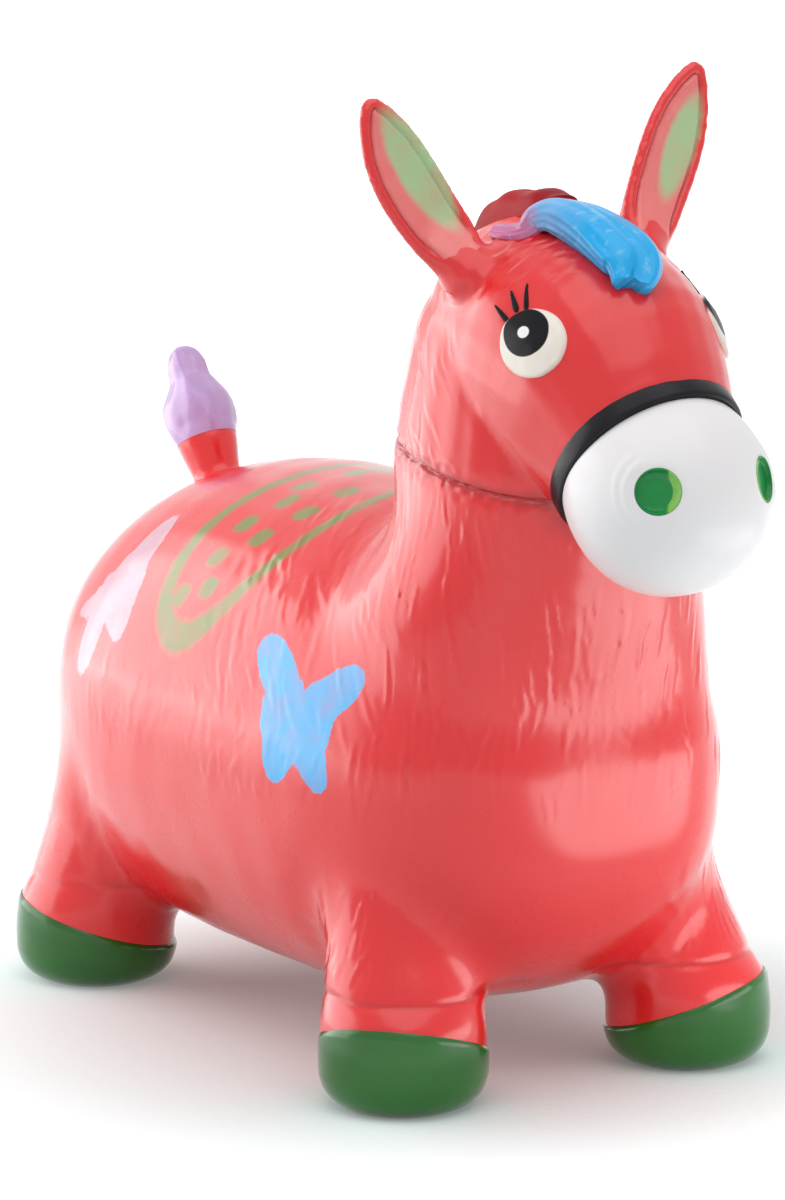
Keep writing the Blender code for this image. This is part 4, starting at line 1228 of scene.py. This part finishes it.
def make_forelock():
    """The twisted blue lock: flat strands that lie over the poll and part at the tip."""
    rows = []
    along_values = []
    steps, sides = 90, 96
    for place in shares(steps):
        here, along, across, lift = along_head(FORELOCK_PATH, place)
        radius = FORELOCK_RADIUS * float(smooth_curve(FORELOCK_SIZES, place))
        parting = float(smoothstep(place, 0.81, 1.0))
        row = []
        for angle in turns(sides):
            lobe = 1.0 + 0.09 * math.cos(3.0 * angle + 2.0 * math.pi * 0.9 * place)
            strand = 0.022 * math.cos(13.0 * angle + 9.0 * place)
            strand += 0.016 * math.cos(7.0 * angle - 11.0 * place)
            reach = radius * (lobe + strand)
            side_way = reach * math.cos(angle)
            up_way = reach * FORELOCK_FLATNESS * math.sin(angle)
            up_way -= parting * 0.35 * reach * math.exp(-0.5 * (math.cos(angle) / 0.25) ** 2)
            run = -parting * 0.0050 * math.exp(-0.5 * ((math.cos(angle) - 0.15) / 0.22) ** 2)
            row.append(here + across * side_way + lift * up_way + along * run)
            along_values.append(place)
        rows.append(row)
    lock = loft("forelock_curl", rows, sharp_angle=75.0)
    set_attribute(lock, "along", along_values)
    return lock


def forelock_paint(name):
    """Plum where the lock starts, then sky blue, then cyan, with pale streaks."""
    graph = Graph(name)
    along = graph.math("ADD", graph.attribute("along"),
                       graph.math("MULTIPLY_ADD", graph.noise(60.0), 0.24, -0.12))
    base = graph.mix(graph.ramp(along, 0.14, 0.36), PLUM, FORELOCK_SKY)
    base = graph.mix(graph.ramp(along, 0.44, 0.66), base, FORELOCK_BLUE)
    streak = graph.ramp(graph.noise(150.0), 0.56, 0.72, 0.0, 0.55)
    base = graph.mix(streak, base, (0.20, 0.58, 0.90))
    return moulded_finish(graph, base, gloss=0.26, coat=0.4)


def make_eye(hand, side, skin):
    """A raised, slightly domed disc with a rounded edge, longer along the head, that follows the skull."""
    outline = [(0.0, -0.0060), (EYE_RADIUS - 0.0010, -0.0060), (EYE_RADIUS, -0.0020), (EYE_RADIUS, 0.0008)]
    flat = EYE_RADIUS - EYE_ROUNDING
    for step in range(1, 7):
        angle = math.pi / 2 * step / 6
        outline.append((flat + EYE_ROUNDING * math.cos(angle), 0.0008 + 0.0013 * math.sin(angle)))
    for share in (0.75, 0.5, 0.25, 0.0):
        outline.append((flat * share, 0.0021 + 0.0009 * (1.0 - share ** 2)))
    eye = lathe(f"eye_{hand}_disc", outline, LATHE_SIDES)
    eye.data.transform(Matrix.Diagonal((EYE_STRETCH, 1.0, 1.0, 1.0)))
    eye_frame = facing_matrix(EYE_CENTRES[hand], EYE_FACINGS[hand], side)
    ahead = (eye_frame.to_3x3() @ Z_AXIS).normalized()
    points = positions(eye.data)
    for index, (x, y, _) in enumerate(points.copy()):
        above = eye_frame @ Vector((x, y, EYE_SEARCH_HEIGHT))
        found = skin.ray_cast(above, -ahead, 2.0 * EYE_SEARCH_HEIGHT)
        if found[0] is not None:
            points[index, 2] += EYE_SEARCH_HEIGHT - found[3]
    set_positions(eye.data, points)
    eye.matrix_world = eye_frame
    return eye


def eye_paint(name):
    """Cream disc with a black pupil and a white dot, all longer along the head; both eyes look one way."""
    graph = Graph(name)
    place = graph.place()
    pupil_at = (-0.0036, 0.0046, 0.0)
    dot_at = (-0.0045, 0.0046, 0.0)

    def away(centre):
        shift = graph.node("VectorMath", {0: place, 1: centre}, operation="SUBTRACT").outputs[0]
        flat = graph.node("VectorMath", {0: shift, 1: (1.0 / EYE_STRETCH, 1.0, 0.0)}, operation="MULTIPLY")
        return graph.node("VectorMath", {0: flat.outputs[0]}, operation="LENGTH").outputs["Value"]

    base = graph.mix(graph.ramp(graph.noise(90.0), 0.35, 0.70), CREAM, (0.86, 0.77, 0.69))
    # Painted shade: the cream darkens towards the disc's rounded edge.
    base = graph.mix(graph.ramp(away((0.0, 0.0, 0.0)), 0.0155, 0.0180, 0.0, 0.35), base, (0.80, 0.64, 0.58))
    base = graph.mix(graph.ramp(away(pupil_at), 0.0122, 0.0128, 1.0, 0.0), base, BLACK)
    base = graph.mix(graph.ramp(away(dot_at), 0.0028, 0.0034, 1.0, 0.0), base, (0.90, 0.90, 0.88))
    return moulded_finish(graph, base, gloss=0.30, coat=0.0, grain=0.4, specular=0.15)


def make_nostril(hand, side):
    """A dished cup whose floor lies nearer the outer side, so that its inner wall shows."""
    rim = NOSTRIL_RADIUS - 0.0002
    outline = [(0.0, -0.0058), (rim, -0.0058), (rim, -0.0020), (rim - 0.0002, -0.0016),
               (rim - 0.0006, -0.0015), (rim - 0.0010, -0.0020), (rim - 0.0022, -0.0040),
               (rim - 0.0030, -0.0045), (rim * 0.5, -0.0047), (0.0, -0.0048)]
    cup = lathe(f"nostril_{hand}_cup", outline, LATHE_SIDES)
    points = positions(cup.data)
    dished = (np.hypot(points[:, 0], points[:, 1]) < rim - 0.0004) & (points[:, 2] > -0.0055)
    points[:, 0] += side * 0.0021 * smoothstep(-points[:, 2], 0.0016, 0.0044) * dished
    set_positions(cup.data, points)
    cup.matrix_world = facing_matrix(NOSTRIL_CENTRE, NOSTRIL_FACING, side)
    return cup


def nostril_paint(name, side):
    """Deep green, and light green on the wall at the inner side: a painted highlight where light falls on
    the wall.
    """
    graph = Graph(name)
    place = graph.node("SeparateXYZ", {0: graph.place()}).outputs
    wall = graph.ramp(place["Z"], -0.0044, -0.0041)
    lit_side = graph.ramp(place["X"], -0.004 * side, -0.006 * side)
    # Painted highlight: the inner wall turns light green as if lit.
    base = graph.mix(graph.math("MULTIPLY", wall, lit_side), NOSTRIL_GREEN, NOSTRIL_LIT_GREEN)
    base = graph.mix(graph.ramp(graph.noise(160.0), 0.4, 0.7, 0.0, 0.20), base, (0.02, 0.34, 0.08))
    return moulded_finish(graph, base, gloss=0.28, coat=0.3, grain=0.8)


def make_lash(name, hand, side, skin, start, end, width):
    """A tapered stroke of black paint from start to end, in the eye's own (rearward, up) places."""
    eye_frame = facing_matrix(EYE_CENTRES[hand], EYE_FACINGS[hand], side)
    rows = []
    steps, sides = 16, 12
    first = eye_frame @ Vector((side * start[0], start[1], 0.0))
    last = eye_frame @ Vector((side * end[0], end[1], 0.0))
    for share in shares(steps):
        place, normal, _, _ = skin.find_nearest(first.lerp(last, share))
        across = (last - first).cross(normal).normalized()
        half = width / 2 * min(1.0, 0.55 + 3.0 * share) * (1.0 - 0.72 * share ** 1.6)
        rows.append(oval_row(place + normal * 0.0002, across, normal, half, 0.0007, sides))
    return loft(name, rows, sharp_angle=60.0)


def dress(item, body, slot, material, *nodes):
    """Gives a piece its material and body, and hides the CAD nodes it stands for."""
    item.data.materials.clear()
    item.data.materials.append(material)
    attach(item, body)
    if nodes:
        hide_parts(*nodes)


def build_skins():
    """The red skins of trunk, tail, head and ears; returns the head's."""
    skin = red_vinyl("red_skin", [
        ("saddle", SADDLE_GREEN, 0.0016, 0.0012, 0.85),
        ("sky", SKY_BLUE, 0.0007, 0.0014, 1.0),
        ("pale", PALE_PINK, 0.0009, 0.0016, 0.95),
    ])
    head_skin = red_vinyl("red_face")
    ear_skin = red_vinyl("red_ear", [
        ("dish", DISH_PINK, 0.0009, 0.0004, 0.90),
        ("green", EAR_GREEN, 0.0022, 0.0008, 0.95),
    ])
    stem_skin = red_vinyl("red_stem")

    trunk, tail = make_trunk()
    dress(trunk, "body", "red_skin", skin, "torso", "neck", *LEG_NODES)
    tail.data.materials.append(stem_skin)
    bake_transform(tail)
    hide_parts("tail_stem")

    head, ears = make_head()
    dress(head, "body", "red_skin", head_skin, "head")
    for hand, ear in ears.items():
        ear.data.materials.append(ear_skin)
        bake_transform(ear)
        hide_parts(f"ear_{hand}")
    return head


def build_small_parts():
    """Muzzle, noseband, mane, forelock, hooves and tuft."""
    glow_with_painted_shadow = plain_vinyl("white_muzzle", MUZZLE_WHITE, (0.85, 0.81, 0.83), 16.0,
                        gloss=0.32, coat=0.15, grain=0.5)
    dress(make_muzzle(), "body", "white_muzzle", glow_with_painted_shadow, "muzzle")
    strap = plain_vinyl("black_strap", BLACK, (0.014, 0.012, 0.016), 60.0,
                        gloss=0.28, coat=0.05, specular=0.16)
    dress(make_noseband(), "body", "black_noseband", strap, "noseband")
    crest_red = plain_vinyl("dark_red_crest", (0.40, 0.010, 0.016), (0.28, 0.006, 0.012), 30.0,
                            gloss=0.42, coat=0.0, specular=0.12)
    dress(make_mane(), "body", "dark_red_mane", crest_red, "mane")
    dress(make_forelock(), "body", "blue_forelock", forelock_paint("blue_lock"), "forelock")
    green = plain_vinyl("green_hooves", HOOF_GREEN, (0.018, 0.145, 0.014), 20.0, gloss=0.20, coat=0.6)
    for end, hand, side in LEGS:
        dress(make_hoof(hand, side, end), "body", "green_hoof", green, f"{end}_hoof_{hand}")
    lilac = plain_vinyl("lilac_tuft", TUFT_LILAC, (0.58, 0.38, 0.68), 40.0)
    dress(make_tuft(), "tail", "purple_tuft", lilac, "tail_tuft")


def build_face(head):
    """Eyes, nostrils and lashes, laid on the head's skin."""
    lash_black = plain_vinyl("lash_black", BLACK, (0.016, 0.014, 0.018), 200.0,
                             gloss=0.40, coat=0.0, specular=0.10)
    on_head = skin_tree(head)
    eye_look = eye_paint("eye_paint")
    for hand, side in HANDS.items():
        dress(make_eye(hand, side, on_head), "body", "eye_paint", eye_look, f"eye_{hand}")
        cup_paint = nostril_paint(f"nostril_{hand}_paint", side)
        dress(make_nostril(hand, side), "body", "nostril_green", cup_paint, f"nostril_{hand}")
        for index, (start, end, width) in enumerate(LASHES):
            lash = make_lash(f"lash_{hand}_{index + 1}", hand, side, on_head, start, end, width)
            dress(lash, "body", "eye_paint", lash_black)


def paint_valve():
    """The CAD's own pieces are shown for the valve; they only get their materials."""
    rubber = plain_vinyl("valve_rubber", (0.30, 0.010, 0.014), (0.38, 0.016, 0.02), 60.0,
                         gloss=0.35, coat=0.1)
    stopper = plain_vinyl("stopper_plastic", (0.74, 0.74, 0.71), (0.70, 0.70, 0.66), 80.0,
                          gloss=0.30, coat=0.1)
    for node, material in (("valve_seat", rubber), ("valve_plug", stopper)):
        NODES[node].data.materials.clear()
        NODES[node].data.materials.append(material)


# Camera, light and floor

def add_camera():
    """The photograph's view: 32 degrees from the front towards the horse's right, 11 degrees down."""
    camera = bpy.data.cameras.new("camera")
    item = bpy.data.objects.new("camera", camera)
    bpy.context.scene.collection.objects.link(item)
    azimuth, elevation, distance = math.radians(-32.16), math.radians(11.27), 4.0
    target = Vector((0.0, -0.008, 0.25))
    look = Vector((-math.sin(azimuth) * math.cos(elevation), math.cos(azimuth) * math.cos(elevation),
                   -math.sin(elevation)))
    item.location = target - look * distance
    item.rotation_euler = look.to_track_quat("-Z", "Y").to_euler()
    camera.lens = 224.76
    camera.shift_x = -0.0411
    camera.shift_y = -0.0138
    bpy.context.scene.camera = item


def add_softbox(name, place, aim, size, power, shape="RECTANGLE"):
    """A flat lamp at a place that looks at a point."""
    light = bpy.data.lights.new(name, "AREA")
    light.shape = shape
    light.size, light.size_y = size
    light.energy = power
    item = bpy.data.objects.new(name, light)
    bpy.context.scene.collection.objects.link(item)
    item.location = place
    item.rotation_euler = (Vector(aim) - Vector(place)).to_track_quat("-Z", "Y").to_euler()


def seen_directly(tree):
    """1 for rays from the camera, for reflections and for what is seen through a piece."""
    path = tree.nodes.new("ShaderNodeLightPath")
    seen = path.outputs["Is Camera Ray"]
    for kind in ("Is Glossy Ray", "Is Transmission Ray"):
        either = tree.nodes.new("ShaderNodeMath")
        either.operation = "MAXIMUM"
        tree.links.new(seen, either.inputs[0])
        tree.links.new(path.outputs[kind], either.inputs[1])
        seen = either.outputs[0]
    return seen


def add_world():
    """Soft white surroundings: plain light on the object, clean white where they are seen."""
    world = bpy.data.worlds.new("studio")
    bpy.context.scene.world = world
    world.use_nodes = True
    tree = world.node_tree
    background = tree.nodes["Background"]
    background.inputs["Color"].default_value = (1.0, 1.0, 1.0, 1.0)
    strength = tree.nodes.new("ShaderNodeMapRange")
    strength.inputs["To Min"].default_value = WORLD_LIGHT
    strength.inputs["To Max"].default_value = 1.0
    tree.links.new(seen_directly(tree), strength.inputs["Value"])
    tree.links.new(strength.outputs["Result"], background.inputs["Strength"])


def add_floor():
    """A slightly cool white floor whose own glow is low under the horse, a painted shadow, and brightens to
    pure white away from it.
    """
    size = 6.0
    mesh = bpy.data.meshes.new("floor")
    mesh.from_pydata([(-size, -size, 0.0), (size, -size, 0.0), (size, size, 0.0), (-size, size, 0.0)], [],
                     [(0, 1, 2, 3)])
    floor = new_object("floor", mesh)
    graph = Graph("floor_white")
    speck = graph.noise(300.0, 2.0)
    graph.set(Base_Color=graph.mix(graph.ramp(speck, 0.3, 0.7), (0.68, 0.76, 0.76), (0.70, 0.78, 0.78)),
              Roughness=0.9, Specular_IOR_Level=0.1)
    away = graph.node("VectorMath", {0: graph.place()}, operation="LENGTH").outputs["Value"]
    # Painted shadow: the floor's glow is lowest under the horse and rises to white away from it.
    glow_with_painted_shadow = graph.math("ADD", graph.ramp(away, 0.12, 0.46, PAINTED_SHADOW_LIFT, FLOOR_LIFT),
                       graph.ramp(away, 0.46, 1.20, 0.0, 1.0 - FLOOR_LIFT))
    lift = graph.math("MULTIPLY", glow_with_painted_shadow, seen_directly(graph.tree))
    glow = graph.node("Emission", {"Color": (1.0, 1.0, 1.0, 1.0), "Strength": lift})
    both = graph.node("AddShader", {0: graph.shader.outputs[0], 1: glow.outputs[0]})
    graph.tree.links.new(both.outputs[0], graph.tree.nodes["Material Output"].inputs["Surface"])
    mesh.materials.append(graph.material)


head_skin = build_skins()
build_small_parts()
build_face(head_skin)
paint_valve()
add_camera()
add_world()
add_floor()
for softbox in SOFTBOXES:
    add_softbox(*softbox)
bpy.context.scene.view_settings.view_transform = "Standard"
